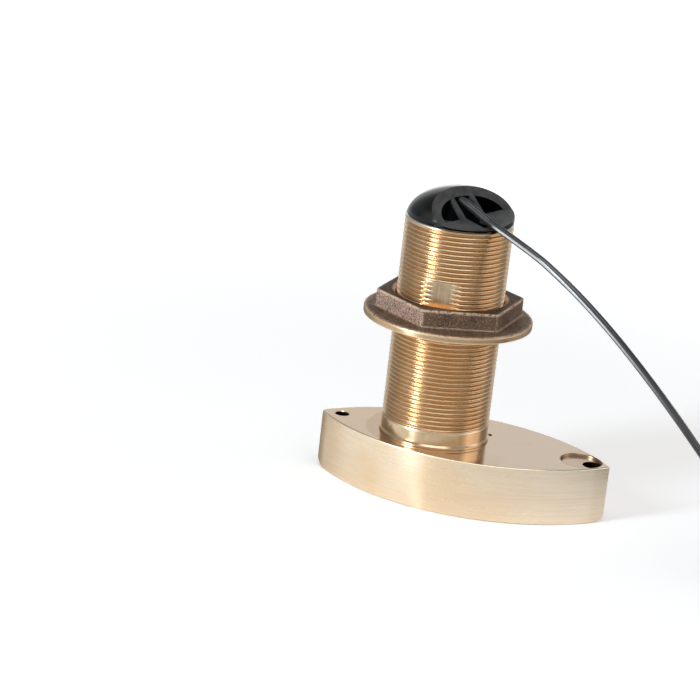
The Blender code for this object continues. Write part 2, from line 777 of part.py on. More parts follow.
def build_cable(rubber):
    start = elbow_route()
    direction = (start[-1] - start[-2]).normalized()
    first = start[-1] + direction * GAP
    return tube_along("cable", smooth_route((first, *CABLE_ROUTE), CABLE_SPACING), CABLE_RADIUS, rubber)


def coil_sizes():
    half_width = COIL_COLUMNS * CABLE_RADIUS
    low = TIE_THICKNESS + GAP
    high = low + COIL_ROWS * CABLE_DIAMETER
    return COIL_MIDDLE_RADIUS - half_width, COIL_MIDDLE_RADIUS + half_width, low, high


def build_coil(rubber):
    inner, outer, low, high = coil_sizes()
    edge = COIL_EDGE_ROUND
    profile = (
        (inner + edge, low), (outer - edge, low), (outer, low + edge), (outer, high - edge),
        (outer - edge, high), (inner + edge, high), (inner, high - edge), (inner, low + edge),
    )
    return add_object("cable_coil", revolved(profile, MEDIUM_STEPS), rubber, (COIL_X, COIL_Y, 0.0))


def build_tie(name, angle, fabric):
    """A strap round the coil's section."""
    inner, outer, low, high = coil_sizes()
    near = math.sqrt(inner ** 2 - (TIE_WIDTH / 2) ** 2) - 2 * GAP
    far = outer + GAP
    top = high + GAP
    edge = TIE_THICKNESS
    outside = (
        (near - edge, 0.0), (far + edge, 0.0), (far + edge, top + edge), (near - edge, top + edge),
    )
    inside = ((near, low - GAP), (far, low - GAP), (far, top), (near, top))
    tie = add_object(name, extruded_side(outside, TIE_WIDTH / 2), fabric, (COIL_X, COIL_Y, 0.0))
    tie.rotation_euler.z = angle
    tool = add_object(
        name + "_tool", extruded_side(inside, TIE_WIDTH), place=(COIL_X, COIL_Y, 0.0), smooth=False,
    )
    tool.rotation_euler.z = angle
    return combine(tie, tool)


def build_tail(rubber):
    return tube_along("cable_end", smooth_route(TAIL_ROUTE, CABLE_SPACING), CABLE_RADIUS, rubber)


# Plug

def lay_plug_piece(item, along, across=0.0, up=0.0):
    """Lay a piece whose own +Z is the plug's axis on the floor, pointing to +Y."""
    item.rotation_euler.x = -math.pi / 2
    item.location = (PLUG_X + across, PLUG_Y + along, PLUG_RADIUS + up)
    return item


def build_plug(plastic, rubber, brass):
    boot = (
        (0.0, 0.0), (PLUG_BOOT_TIP_RADIUS, 0.0), (PLUG_NECK_RADIUS - 2 * GAP, PLUG_BOOT_LENGTH),
        (0.0, PLUG_BOOT_LENGTH),
    )
    lay_plug_piece(add_object("plug_boot", revolved(boot, PLUG_STEPS, closed=False), rubber), 0.0)
    body_start = PLUG_BOOT_LENGTH + GAP
    shroud = PLUG_RADIUS - PLUG_SHROUD_WALL
    floor = PLUG_BODY_LENGTH - PLUG_SHROUD_DEPTH
    profile = [(0.0, 0.0), (PLUG_NECK_RADIUS, 0.0)]
    grip_start = PLUG_RADIUS - PLUG_NECK_RADIUS
    profile.append((PLUG_RADIUS, grip_start))
    for number in range(PLUG_GRIP_COUNT):
        height = grip_start + (number + 0.5) * PLUG_GRIP_PITCH
        quarter = PLUG_GRIP_PITCH / 4
        profile += [
            (PLUG_RADIUS, height - quarter),
            (PLUG_RADIUS - PLUG_GRIP_DEPTH, height - quarter / 2),
            (PLUG_RADIUS - PLUG_GRIP_DEPTH, height + quarter / 2),
            (PLUG_RADIUS, height + quarter),
        ]
    profile += [(PLUG_RADIUS, PLUG_BODY_LENGTH), (shroud, PLUG_BODY_LENGTH), (shroud, floor), (0.0, floor)]
    body = revolved(profile, PLUG_STEPS, closed=False)
    lay_plug_piece(add_object("plug_body", body, plastic), body_start)
    for number in range(PLUG_PINS):
        angle = 2 * math.pi * number / PLUG_PINS
        pin_mesh = disc(PLUG_PIN_RADIUS, 0.0, PLUG_PIN_LENGTH, PIN_STEPS)
        pin = add_object("plug_pin_" + str(number + 1), pin_mesh, brass)
        lay_plug_piece(
            pin, body_start + floor + GAP,
            PLUG_PIN_CIRCLE * math.cos(angle), PLUG_PIN_CIRCLE * math.sin(angle),
        )


# Element stack

def build_window(urethane):
    outline = cavity_outline(GAP)
    window = add_object("acoustic_window", lofted(((outline, 0.0), (outline, WINDOW_THICKNESS))), urethane)
    return combine(window, round_tool(
        "window_sensor_tool", SENSOR_RADIUS + GAP, -OVERCUT, WINDOW_THICKNESS + OVERCUT, SENSOR_X,
        steps=PLUG_STEPS,
    ))


def build_element(ceramic_look, cork, foam):
    low = WINDOW_THICKNESS + GAP
    high = low + CERAMIC_THICKNESS
    place = (ELEMENT_X, 0.0, 0.0)
    add_object("ceramic_disc", disc(CERAMIC_RADIUS, low, high, MEDIUM_STEPS), ceramic_look, place)
    inner = CERAMIC_RADIUS + GAP
    sleeve_top = high + GAP + PAD_THICKNESS
    sleeve = ring(inner, inner + SLEEVE_THICKNESS, low, sleeve_top, MEDIUM_STEPS)
    add_object("isolation_sleeve", sleeve, cork, place)
    pad = disc(CERAMIC_RADIUS, high + GAP, high + GAP + PAD_THICKNESS, MEDIUM_STEPS)
    pad_item = add_object("pressure_release_pad", pad, foam, place)
    for name, x, y in lead_feet():
        combine(pad_item, round_tool(
            "pad_" + name + "_tool", LEAD_RADIUS + GAP, high, high + PAD_THICKNESS + OVERCUT, x, y,
            PIN_STEPS,
        ))


def build_fill(epoxy):
    outline = cavity_outline(GAP)
    low = WINDOW_THICKNESS + GAP
    fill = add_object("cavity_fill", lofted(((outline, low), (outline, FILL_TOP))), epoxy)
    pocket = CERAMIC_RADIUS + 2 * GAP + SLEEVE_THICKNESS
    combine(fill, round_tool(
        "element_pocket_tool", pocket, low - OVERCUT, FILL_TOP + OVERCUT, ELEMENT_X,
        steps=MEDIUM_STEPS,
    ))
    return combine(fill, round_tool(
        "sensor_pocket_tool", SENSOR_RADIUS + GAP, low - OVERCUT, FILL_TOP + OVERCUT, SENSOR_X,
        steps=PLUG_STEPS,
    ))


def build_sensor(bronze, bead_look):
    bore = SENSOR_RADIUS - SENSOR_WALL
    profile = (
        (0.0, 0.0), (SENSOR_RADIUS, 0.0), (SENSOR_RADIUS, SENSOR_TOP), (bore, SENSOR_TOP),
        (bore, SENSOR_WALL), (0.0, SENSOR_WALL),
    )
    place = (SENSOR_X, 0.0, 0.0)
    add_object("sensor_thimble", revolved(profile, PLUG_STEPS, closed=False), bronze, place)
    bead = bmesh.new()
    bmesh.ops.create_icosphere(bead, subdivisions=2, radius=BEAD_RADIUS)
    bead_height = SENSOR_WALL + GAP + BEAD_RADIUS
    add_object("temperature_bead", bead, bead_look, (SENSOR_X, 0.0, bead_height))


# Leads and transformer

def board_bottom():
    return RIM_Z - CORE_TOP_BELOW_RIM - 2 * CORE_HALF_HEIGHT - 3 * GAP - BOARD_THICKNESS


def lead_feet():
    """Where the two element leads meet the ceramic's upper electrode."""
    x = ELEMENT_X - LEAD_SETBACK
    return (("back_lead", x, LEAD_SPREAD), ("front_lead", x, -LEAD_SPREAD))


def build_leads(red, black, white):
    top = board_bottom() - GAP
    foot = WINDOW_THICKNESS + 2 * GAP + CERAMIC_THICKNESS
    for (name, x, y), look in zip(lead_feet(), (red, black)):
        route = (
            (x, y, foot),
            (x, y, foot + LEAD_RISE),
            (x - LEAD_LEAN, y, foot + LEAD_LEAN_HEIGHT),
            (LEAD_BOARD_X, y, top - LEAD_UPRIGHT),
            (LEAD_BOARD_X, y, top),
        )
        tube_along(name, smooth_route(route, LEAD_SPACING), LEAD_RADIUS, look, sides=1)
    bead_top = SENSOR_WALL + 2 * BEAD_RADIUS + 2 * GAP
    level = FILL_TOP + LEAD_RADIUS + 2 * GAP
    route = [(SENSOR_X, 0.0, bead_top), (SENSOR_X, 0.0, SENSOR_TOP)]
    route += [(SENSOR_X - back, 0.0, level + rise) for back, rise in SENSOR_LEAD_TURN]
    route += [(x, 0.0, level + rise) for x, rise in SENSOR_LEAD_RUN]
    route.append((SENSOR_LEAD_RUN[-1][0], 0.0, top))
    tube_along("sensor_lead", smooth_route(route, LEAD_SPACING), LEAD_RADIUS, white, sides=1)


def build_stem_fill(epoxy):
    outer = STEM_BORE_RADIUS - GAP
    top = RIM_Z - POTTING_BELOW_RIM
    pocket_top = RIM_Z - CORE_TOP_BELOW_RIM
    profile = (
        (0.0, pocket_top), (POCKET_RADIUS, pocket_top), (POCKET_RADIUS, BASE_HEIGHT),
        (outer, BASE_HEIGHT), (outer, top), (0.0, top),
    )
    fill = add_object("stem_fill", revolved(profile, MEDIUM_STEPS, closed=False), epoxy)
    foot = channel_point(ELBOW_FOOT, 0.0)
    return combine(fill, round_tool(
        "cable_way_tool", CABLE_RADIUS + GAP, pocket_top - OVERCUT, top + OVERCUT, foot.x, foot.y,
        TINY_STEPS,
    ))


def build_inner_cable(rubber):
    foot = channel_point(ELBOW_FOOT, 0.0)
    low = RIM_Z - CORE_TOP_BELOW_RIM + GAP
    high = RIM_Z - POTTING_BELOW_RIM
    cord = disc(CABLE_RADIUS, low, high, TINY_STEPS)
    return add_object("inner_cable", cord, rubber, (foot.x, foot.y, 0.0))


def build_transformer(ferrite, copper, plastic, board_look):
    radius = POCKET_RADIUS - GAP
    top = RIM_Z - CORE_TOP_BELOW_RIM - GAP
    groove_floor = CORE_HALF_HEIGHT - CORE_FLOOR
    half = (
        (0.0, 0.0), (CORE_POST_RADIUS, 0.0), (CORE_POST_RADIUS, groove_floor),
        (radius - CORE_WALL, groove_floor), (radius - CORE_WALL, 0.0), (radius, 0.0),
        (radius, CORE_HALF_HEIGHT), (0.0, CORE_HALF_HEIGHT),
    )
    middle = top - CORE_HALF_HEIGHT
    upper = add_object(
        "core_upper_half", revolved(half, SMALL_STEPS, closed=False), ferrite, (0.0, 0.0, middle),
    )
    lower = upper.copy()
    lower.name = "core_lower_half"
    lower.rotation_euler.x = math.pi
    lower.location.z = middle - GAP
    bpy.context.collection.objects.link(lower)
    inner = CORE_POST_RADIUS + GAP
    outer = radius - CORE_WALL - GAP
    reach = groove_floor - GAP
    spool = (
        (inner, -reach), (outer, -reach), (outer, -reach + BOBBIN_WALL),
        (inner + BOBBIN_WALL, -reach + BOBBIN_WALL), (inner + BOBBIN_WALL, reach - BOBBIN_WALL),
        (outer, reach - BOBBIN_WALL), (outer, reach), (inner, reach),
    )
    centre = (0.0, 0.0, middle - GAP / 2)
    add_object("bobbin", revolved(spool, SMALL_STEPS), plastic, centre)
    wound = reach - BOBBIN_WALL - GAP
    winding = ring(inner + BOBBIN_WALL + GAP, outer - GAP, -wound, wound, SMALL_STEPS)
    add_object("transformer_winding", winding, copper, centre)
    low = board_bottom()
    add_object("terminal_board", disc(radius, low, low + BOARD_THICKNESS, SMALL_STEPS), board_look)


def main():
    clear_scene()
    cast_bronze = make_material("cast_bronze", (0.62, 0.46, 0.29), 0.32, 1.0)
    stem_bronze = make_material("stem_bronze", (0.68, 0.46, 0.22), 0.28, 1.0)
    nut_bronze = make_material("nut_bronze", (0.46, 0.30, 0.18), 0.45, 1.0)
    thimble_bronze = make_material("thimble_bronze", (0.66, 0.48, 0.28), 0.35, 1.0)
    pin_steel = make_material("pin_steel", (0.30, 0.28, 0.26), 0.45, 1.0)
    cap_black = make_material("cap_black", (0.02, 0.02, 0.022), 0.22)
    plug_black = make_material("plug_black", (0.03, 0.03, 0.032), 0.40)
    seal_rubber = make_material("seal_rubber", (0.03, 0.03, 0.03), 0.60)
    boot_rubber = make_material("boot_rubber", (0.06, 0.06, 0.062), 0.45)
    cable_black = make_material("cable_black", (0.045, 0.045, 0.048), 0.35)
    tie_fabric = make_material("tie_fabric", (0.02, 0.02, 0.02), 0.80)
    pin_brass = make_material("pin_brass", (0.80, 0.62, 0.28), 0.25, 1.0)
    window_urethane = make_material("window_urethane", (0.03, 0.03, 0.035), 0.35)
    ceramic_look = make_material("silvered_ceramic", (0.72, 0.71, 0.66), 0.45)
    cork = make_material("cork", (0.42, 0.29, 0.18), 0.85)
    foam = make_material("foam", (0.10, 0.10, 0.10), 0.90)
    epoxy = make_material("epoxy", (0.05, 0.05, 0.055), 0.50)
    bead_look = make_material("bead_epoxy", (0.02, 0.02, 0.02), 0.40)
    red = make_material("red_lead", (0.55, 0.03, 0.02), 0.50)
    black = make_material("black_lead", (0.02, 0.02, 0.02), 0.50)
    white = make_material("white_lead", (0.80, 0.80, 0.78), 0.50)
    ferrite = make_material("ferrite", (0.07, 0.07, 0.075), 0.60)
    copper = make_material("copper", (0.75, 0.36, 0.20), 0.30, 1.0)
    spool_plastic = make_material("spool_plastic", (0.70, 0.68, 0.60), 0.50)
    board_look = make_material("board_green", (0.05, 0.22, 0.10), 0.45)

    build_housing(cast_bronze)
    build_stem(stem_bronze)
    build_lock_pin(pin_steel)
    build_hull_nut(nut_bronze)
    build_cap(cap_black)
    build_seal(seal_rubber)
    build_strain_relief(boot_rubber)
    build_cable(cable_black)
    build_coil(cable_black)
    for number, angle in enumerate(TIE_ANGLES):
        build_tie("coil_tie_" + str(number + 1), angle, tie_fabric)
    build_tail(cable_black)
    build_plug(plug_black, boot_rubber, pin_brass)
    build_window(window_urethane)
    build_element(ceramic_look, cork, foam)
    build_fill(epoxy)
    build_sensor(thimble_bronze, bead_look)
    build_leads(red, black, white)
    build_stem_fill(epoxy)
    build_inner_cable(cable_black)
    build_transformer(ferrite, copper, spool_plastic, board_look)


main()
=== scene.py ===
"""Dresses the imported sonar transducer: fine meshes, procedural materials, light and camera.

The row frame is in metres, with the origin on the stem's axis at the acoustic face.
"""
import json
import math

import bmesh
import bpy
from mathutils import Matrix, Vector, noise

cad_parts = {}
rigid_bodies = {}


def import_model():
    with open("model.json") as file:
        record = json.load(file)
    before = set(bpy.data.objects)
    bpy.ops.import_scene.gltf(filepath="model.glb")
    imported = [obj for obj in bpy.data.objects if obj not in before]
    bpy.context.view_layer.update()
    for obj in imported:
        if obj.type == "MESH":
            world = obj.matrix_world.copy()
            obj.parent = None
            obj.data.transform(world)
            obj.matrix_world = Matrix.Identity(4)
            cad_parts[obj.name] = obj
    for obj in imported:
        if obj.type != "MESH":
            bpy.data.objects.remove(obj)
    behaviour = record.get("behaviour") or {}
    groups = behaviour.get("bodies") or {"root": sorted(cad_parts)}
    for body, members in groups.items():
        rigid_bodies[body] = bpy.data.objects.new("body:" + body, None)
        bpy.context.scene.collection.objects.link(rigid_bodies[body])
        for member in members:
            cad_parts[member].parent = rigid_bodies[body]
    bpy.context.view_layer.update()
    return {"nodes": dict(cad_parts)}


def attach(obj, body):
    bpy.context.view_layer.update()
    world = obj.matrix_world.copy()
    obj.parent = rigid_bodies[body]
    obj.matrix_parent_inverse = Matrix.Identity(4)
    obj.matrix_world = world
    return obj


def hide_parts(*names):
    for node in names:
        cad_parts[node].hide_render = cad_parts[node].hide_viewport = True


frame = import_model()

FIXED_BODY = "housing_assembly"
NUT_BODY = "hull_nut"
GAP = 0.0003
OVERCUT = 0.002
MERGE_DISTANCE = 1e-7

# Sizes repeated from the part's source
BASE_LEFT = 0.0559
BASE_RIGHT = 0.0861
BASE_HALF_WIDTH = 0.0337
BASE_HEIGHT = 0.0272
TIP_RADIUS_LEFT = 0.0024
TIP_RADIUS_RIGHT = 0.0010
LOWER_CORNER_LEFT = 0.0056
LOWER_CORNER_RIGHT = 0.0032
CAVITY_WALL = 0.0045
CAVITY_ROOF = 0.0055
CAVITY_LEFT = 0.0330
CAVITY_RIGHT = 0.0610
LEFT_HOLE_X = -0.0456
LEFT_HOLE_RADIUS = 0.0034
LEFT_HOLE_DEPTH = 0.0150
COUNTERBORE_X = 0.0719
COUNTERBORE_Y = 0.0007
COUNTERBORE_RADIUS = 0.0097
COUNTERBORE_DEPTH = 0.0013
RIGHT_HOLE_X = 0.0773
RIGHT_HOLE_Y = 0.0010
RIGHT_HOLE_RADIUS = 0.0046
RIGHT_HOLE_DEPTH = 0.0160
STEM_RADIUS = 0.0254
STEM_BORE_RADIUS = 0.0200
STEM_HEIGHT = 0.1058
STEM_SPIGOT_RADIUS = 0.0220
STEM_COLLAR_RADIUS = 0.0261
STEM_COLLAR_HEIGHT = 0.0009
STEM_RIM_CHAMFER = 0.0008
FLAT_DEPTH = 0.0018
FLAT_LOW = 0.0520
FLAT_HIGH = 0.0805
FLAT_ANGLE = math.radians(-87.2)
LOCK_PIN_RADIUS = 0.0014
LOCK_PIN_SUNK = 0.0004
LOCK_PIN_DEPTH = 0.0050
LOCK_PIN_ANGLE = math.radians(24.2)
LOCK_PIN_OFFSET = 0.0267
NUT_HEIGHT_ON_STEM = 0.0566
NUT_FLANGE_RADIUS = 0.0398
NUT_RIM_THICKNESS = 0.0031
NUT_HEX_BASE = 0.0043
NUT_HEX_TOP = 0.0124
NUT_HEX_CORNER_RADIUS = 0.0353
NUT_HEX_CORNER_ANGLE = math.radians(23.6)
NUT_BORE_CHAMFER = 0.0016
CAP_RADIUS = 0.0250
CAP_HEIGHT = 0.0149
CAP_DOME_POWER = 2.1
CAP_DOME_LEAN = 0.0027
CAP_WALL = 0.0020
CAP_RING_WIDTH = 0.0037
CAP_FACE_THICKNESS = 0.0018
CAP_FACING = math.radians(-40.8)
CAP_FACE_REACH = 0.0150
CAP_FACE_RUN = 1.114
CAP_SILL_HEIGHT = 0.0033
CAP_SILL_SLOPE = 0.156
CAP_SILL_TILT = 0.10
CAP_PLATE_THICKNESS = 0.0016
CAP_SPIGOT_DEPTH = 0.0070
CAP_SPIGOT_WALL = 0.0032
CAP_BAR_WIDTH = 0.0021
CAP_BAR_DEPTH = 0.0026
CAP_BAR_SETBACK = 0.0002
CAP_NOTCH_WIDTH = 0.0088
CAP_NOTCH_FLOOR = -0.0006
SEAL_SECTION_RADIUS = 0.0009
SEAL_DEPTH = 0.0040
CHANNEL_ANGLE = math.radians(-27.05)
CHANNEL_OFFSET = -0.00315
ELBOW_FOOT = -0.0045
ELBOW_BEND_RADIUS = 0.0070
ELBOW_TOP = 0.0089
ELBOW_DEPTH = 0.0090
ELBOW_RADIUS = 0.00205
ELBOW_TIP_RADIUS = 0.0019
ELBOW_RUN = ((0.0060, 0.0082), (0.0100, 0.0069), (0.0165, 0.0046), (0.0205, 0.0032))
CABLE_RADIUS = 0.0018
CABLE_ROUTE = (
    (0.0256, -0.0166, 0.1337), (0.0340, -0.0209, 0.1311), (0.0423, -0.0250, 0.1283),
    (0.0500, -0.0286, 0.1251), (0.0660, -0.0350, 0.1165), (0.0830, -0.0404, 0.1050),
    (0.1000, -0.0444, 0.0912), (0.1170, -0.0472, 0.0755), (0.1330, -0.0488, 0.0592),
    (0.1480, -0.0496, 0.0432), (0.1625, -0.0498, 0.0282), (0.1765, -0.0496, 0.0156),
    (0.1900, -0.0492, 0.0066), (0.2020, -0.0489, 0.0029),
)
COIL_X = 0.2150
COIL_COLUMNS = 8
COIL_ROWS = 6
COIL_MIDDLE_RADIUS = 0.0324
TIE_THICKNESS = 0.0008
TIE_WIDTH = 0.0080
TIE_ANGLES = (math.radians(60.0), math.radians(180.0))
TAIL_ROUTE = (
    (0.2300, -0.0488, 0.0203), (0.2395, -0.0476, 0.0183), (0.2482, -0.0450, 0.0155),
    (0.2556, -0.0408, 0.0127), (0.2615, -0.0352, 0.0105), (0.2660, -0.0285, 0.0092),
    (0.2692, -0.0212, 0.0087), (0.2712, -0.0138, 0.0086), (0.2720, -0.0062, 0.0086),
)
PLUG_X = 0.2720
PLUG_Y = -0.0059
PLUG_RADIUS = 0.0086
PLUG_NECK_RADIUS = 0.0056
PLUG_BOOT_LENGTH = 0.0180
PLUG_BOOT_TIP_RADIUS = 0.0025
PLUG_BODY_LENGTH = 0.0320
PLUG_SHROUD_WALL = 0.0014
PLUG_SHROUD_DEPTH = 0.0090
PLUG_PINS = 5
PLUG_PIN_RADIUS = 0.0008
PLUG_PIN_CIRCLE = 0.0047
PLUG_PIN_LENGTH = 0.0075

# Values that follow
RIM_Z = BASE_HEIGHT + STEM_HEIGHT
LENS_MIDDLE_X = (BASE_RIGHT - BASE_LEFT) / 2
LENS_HALF_LENGTH = (BASE_RIGHT + BASE_LEFT) / 2
LENS_RADIUS = (LENS_HALF_LENGTH ** 2 + BASE_HALF_WIDTH ** 2) / (2 * BASE_HALF_WIDTH)
LENS_DROP = LENS_RADIUS - BASE_HALF_WIDTH
CAVITY_TOP = BASE_HEIGHT - CAVITY_ROOF
CABLE_DIAMETER = 2 * CABLE_RADIUS


def add_object(name, data):
    item = bpy.data.objects.new(name, data)
    bpy.context.scene.collection.objects.link(item)
    return item


# Camera, in a frame turned with the view: X to the right, Y away, Z up from the base's top
VIEW_TURN = 0.22427
CAMERA_DISTANCE = 1.26386
CAMERA_HEIGHT = 0.43548
CAMERA_PAN = -0.03465
CAMERA_TILT = 0.30655
CAMERA_ROLL = 0.11254
CAMERA_LENS = 144.776


def from_view(x, y, z):
    """A direction or place given in the view's own frame, in the row frame."""
    return Matrix.Rotation(VIEW_TURN, 3, "Z") @ Vector((x, y, z))


def lamp_direction(azimuth, elevation):
    """Azimuth 0 is at the camera's side, negative to its left."""
    turn = math.radians(azimuth)
    rise = math.radians(elevation)
    return from_view(math.sin(turn) * math.cos(rise), -math.cos(turn) * math.cos(rise), math.sin(rise))


def make_camera():
    """A camera at the photograph's viewing angle."""
    ahead = from_view(
        math.sin(CAMERA_PAN) * math.cos(CAMERA_TILT),
        math.cos(CAMERA_PAN) * math.cos(CAMERA_TILT),
        -math.sin(CAMERA_TILT),
    )
    right = ahead.cross(Vector((0.0, 0.0, 1.0))).normalized()
    up = right.cross(ahead)
    leaning_right = right * math.cos(CAMERA_ROLL) + up * math.sin(CAMERA_ROLL)
    leaning_up = up * math.cos(CAMERA_ROLL) - right * math.sin(CAMERA_ROLL)
    data = bpy.data.cameras.new("camera")
    data.lens = CAMERA_LENS
    camera = add_object("camera", data)
    turn = Matrix((leaning_right, leaning_up, -ahead)).transposed()
    place = from_view(0.0, -CAMERA_DISTANCE, CAMERA_HEIGHT) + Vector((0.0, 0.0, BASE_HEIGHT))
    camera.matrix_world = Matrix.Translation(place) @ turn.to_4x4()
    bpy.context.scene.camera = camera


# Mesh helpers

def make_object(name, mesh, nodes, looks, body=FIXED_BODY):
    """Link a mesh as a piece that rides on a body and stands for CAD nodes."""
    item = add_object(name, mesh)
    for look in looks:
        mesh.materials.append(look)
    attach(item, body)
    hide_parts(*nodes)
    return item


def raw_mesh(bm, name):
    mesh = bpy.data.meshes.new(name)
    bm.to_mesh(mesh)
    bm.free()
    return mesh


def mesh_from(bm, name, sharp=35.0):
    """A clean smooth mesh; edges over an angle in degrees stay sharp."""
    bmesh.ops.remove_doubles(bm, verts=bm.verts, dist=MERGE_DISTANCE)
    bmesh.ops.dissolve_degenerate(bm, edges=bm.edges, dist=MERGE_DISTANCE)
    bmesh.ops.recalc_face_normals(bm, faces=bm.faces)
    mesh = raw_mesh(bm, name)
    mesh.shade_smooth()
    mesh.set_sharp_from_angle(angle=math.radians(sharp))
    return mesh


def make_piece(name, bm, nodes, look, sharp=35.0, body=FIXED_BODY):
    return make_object(name, mesh_from(bm, name, sharp), nodes, [look], body)


def weigh_normals(item):
    modifier = item.modifiers.new("Even shading", "WEIGHTED_NORMAL")
    modifier.keep_sharp = True


def arc(x, y, radius, start, sweep, steps):
    """(x, y) points on an arc, without its last one."""
    angles = [start + sweep * step / steps for step in range(steps)]
    return [(x + radius * math.cos(angle), y + radius * math.sin(angle)) for angle in angles]


def circle(radius, steps):
    return arc(0.0, 0.0, radius, 0.0, 2 * math.pi, steps)


def bridge(bm, loops):
    """Quads between each closed loop and the next."""
    for lower, upper in zip(loops, loops[1:]):
        for index in range(len(lower)):
            after = (index + 1) % len(lower)
            bm.faces.new((lower[index], lower[after], upper[after], upper[index]))


def capped(bm, loops):
    bridge(bm, loops)
    bm.faces.new(loops[0])
    bm.faces.new(loops[-1])
    return bm


def revolved(points, steps, closed=True):
    """Turn (radius, height) points about Z."""
    bm = bmesh.new()
    rings = []
    for radius, height in points:
        around = circle(radius, steps) if radius > 0.0 else [(0.0, 0.0)]
        rings.append([bm.verts.new((x, y, height)) for x, y in around])
    pairs = list(zip(rings, rings[1:]))
    if closed:
        pairs.append((rings[-1], rings[0]))
    for lower, upper in pairs:
        for step in range(steps):
            after = (step + 1) % steps
            corners = [lower[step % len(lower)], lower[after % len(lower)]]
            corners += [upper[after % len(upper)], upper[step % len(upper)]]
            corners = list(dict.fromkeys(corners))
            if len(corners) > 2:
                bm.faces.new(corners)
    return bm


def disc(radius, low, high, steps):
    return revolved(((0.0, low), (radius, low), (radius, high), (0.0, high)), steps, closed=False)


def lofted(sections):
    """A solid through closed outlines, each with (x, y) points and a height."""
    bm = bmesh.new()
    loops = [[bm.verts.new((x, y, height)) for x, y in outline] for outline, height in sections]
    return capped(bm, loops)


def between_sides(near, far, half_width):
    """A solid between a profile at -Y and one at +Y, each of (x, z) points."""
    bm = bmesh.new()
    near_loop = [bm.verts.new((x, -half_width, z)) for x, z in near]
    far_loop = [bm.verts.new((x, half_width, z)) for x, z in far]
    bm.faces.new(near_loop)
    bm.faces.new(far_loop)
    for index, vert in enumerate(near_loop):
        bm.faces.new((vert, near_loop[index - 1], far_loop[index - 1], far_loop[index]))
    return bm


def extruded_side(points, half_width):
    return between_sides(points, points, half_width)


def solid(name, bm, place=(0.0, 0.0, 0.0), turn=0.0):
    """A scratch object for cutting, its place and turn held in its matrix."""
    bmesh.ops.recalc_face_normals(bm, faces=bm.faces)
    item = add_object(name, raw_mesh(bm, name))
    item.matrix_world = Matrix.Translation(place) @ Matrix.Rotation(turn, 4, "Z")
    item.hide_render = True
    return item


def combine(target, tool, operation="DIFFERENCE"):
    modifier = target.modifiers.new(operation, "BOOLEAN")
    modifier.operation = operation
    modifier.solver = "EXACT"
    modifier.object = tool
    return target


def settled(item, name, sharp=35.0, bevel=0.0, edge_material=-1):
    """Apply an object's modifiers and give back a clean mesh in the row frame."""
    bpy.context.view_layer.update()
    if bevel:
        rounding = item.modifiers.new("Broken edges", "BEVEL")
        rounding.width = bevel
        rounding.segments = 2
        rounding.limit_method = "ANGLE"
        rounding.angle_limit = math.radians(40.0)
        rounding.use_clamp_overlap = True
        rounding.material = edge_material
    graph = bpy.context.evaluated_depsgraph_get()
    made = bpy.data.meshes.new_from_object(item.evaluated_get(graph), depsgraph=graph)
    made.transform(item.matrix_world)
    bm = bmesh.new()
    bm.from_mesh(made)
    bpy.data.meshes.remove(made)
    return mesh_from(bm, name, sharp)


def drop_tools():
    for item in list(bpy.data.objects):
        if item.name.endswith("_tool"):
            bpy.data.objects.remove(item, do_unlink=True)


def smooth_route(points, spacing):
    """Evenly spaced points on a smooth curve through the given points."""
    anchors = [Vector(point) for point in points]
    anchors = [2 * anchors[0] - anchors[1]] + anchors + [2 * anchors[-1] - anchors[-2]]
    fine = []
    steps = 24
    for p0, p1, p2, p3 in zip(anchors, anchors[1:], anchors[2:], anchors[3:]):
        for step in range(steps):
            t = step / steps
            fine.append(0.5 * (
                2 * p1 + (p2 - p0) * t
                + (2 * p0 - 5 * p1 + 4 * p2 - p3) * t ** 2
                + (3 * p1 - p0 - 3 * p2 + p3) * t ** 3
            ))
    fine.append(anchors[-2])
    lengths = [0.0]
    for before, after in zip(fine, fine[1:]):
        lengths.append(lengths[-1] + (after - before).length)
    count = max(2, round(lengths[-1] / spacing))
    route = []
    place = 0
    for number in range(count + 1):
        wanted = lengths[-1] * number / count
        while place < len(lengths) - 2 and lengths[place + 1] < wanted:
            place += 1
        share = (wanted - lengths[place]) / (lengths[place + 1] - lengths[place])
        route.append(fine[place].lerp(fine[place + 1], share))
    return route


def tube(route, radii, sides=24):
    """A closed round tube along a route, with one radius for each point."""
    bm = bmesh.new()
    ahead = (route[1] - route[0]).normalized()
    across = ahead.orthogonal().normalized()
    rings = []
    for number, (place, radius) in enumerate(zip(route, radii)):
        before = route[max(number - 1, 0)]
        after = route[min(number + 1, len(route) - 1)]
        ahead = (after - before).normalized()
        across = (across - ahead * across.dot(ahead)).normalized()
        side = ahead.cross(across)
        rings.append([
            bm.verts.new(place + (across * x + side * y) * radius) for x, y in circle(1.0, sides)
        ])
    return capped(bm, rings)


# Material helpers

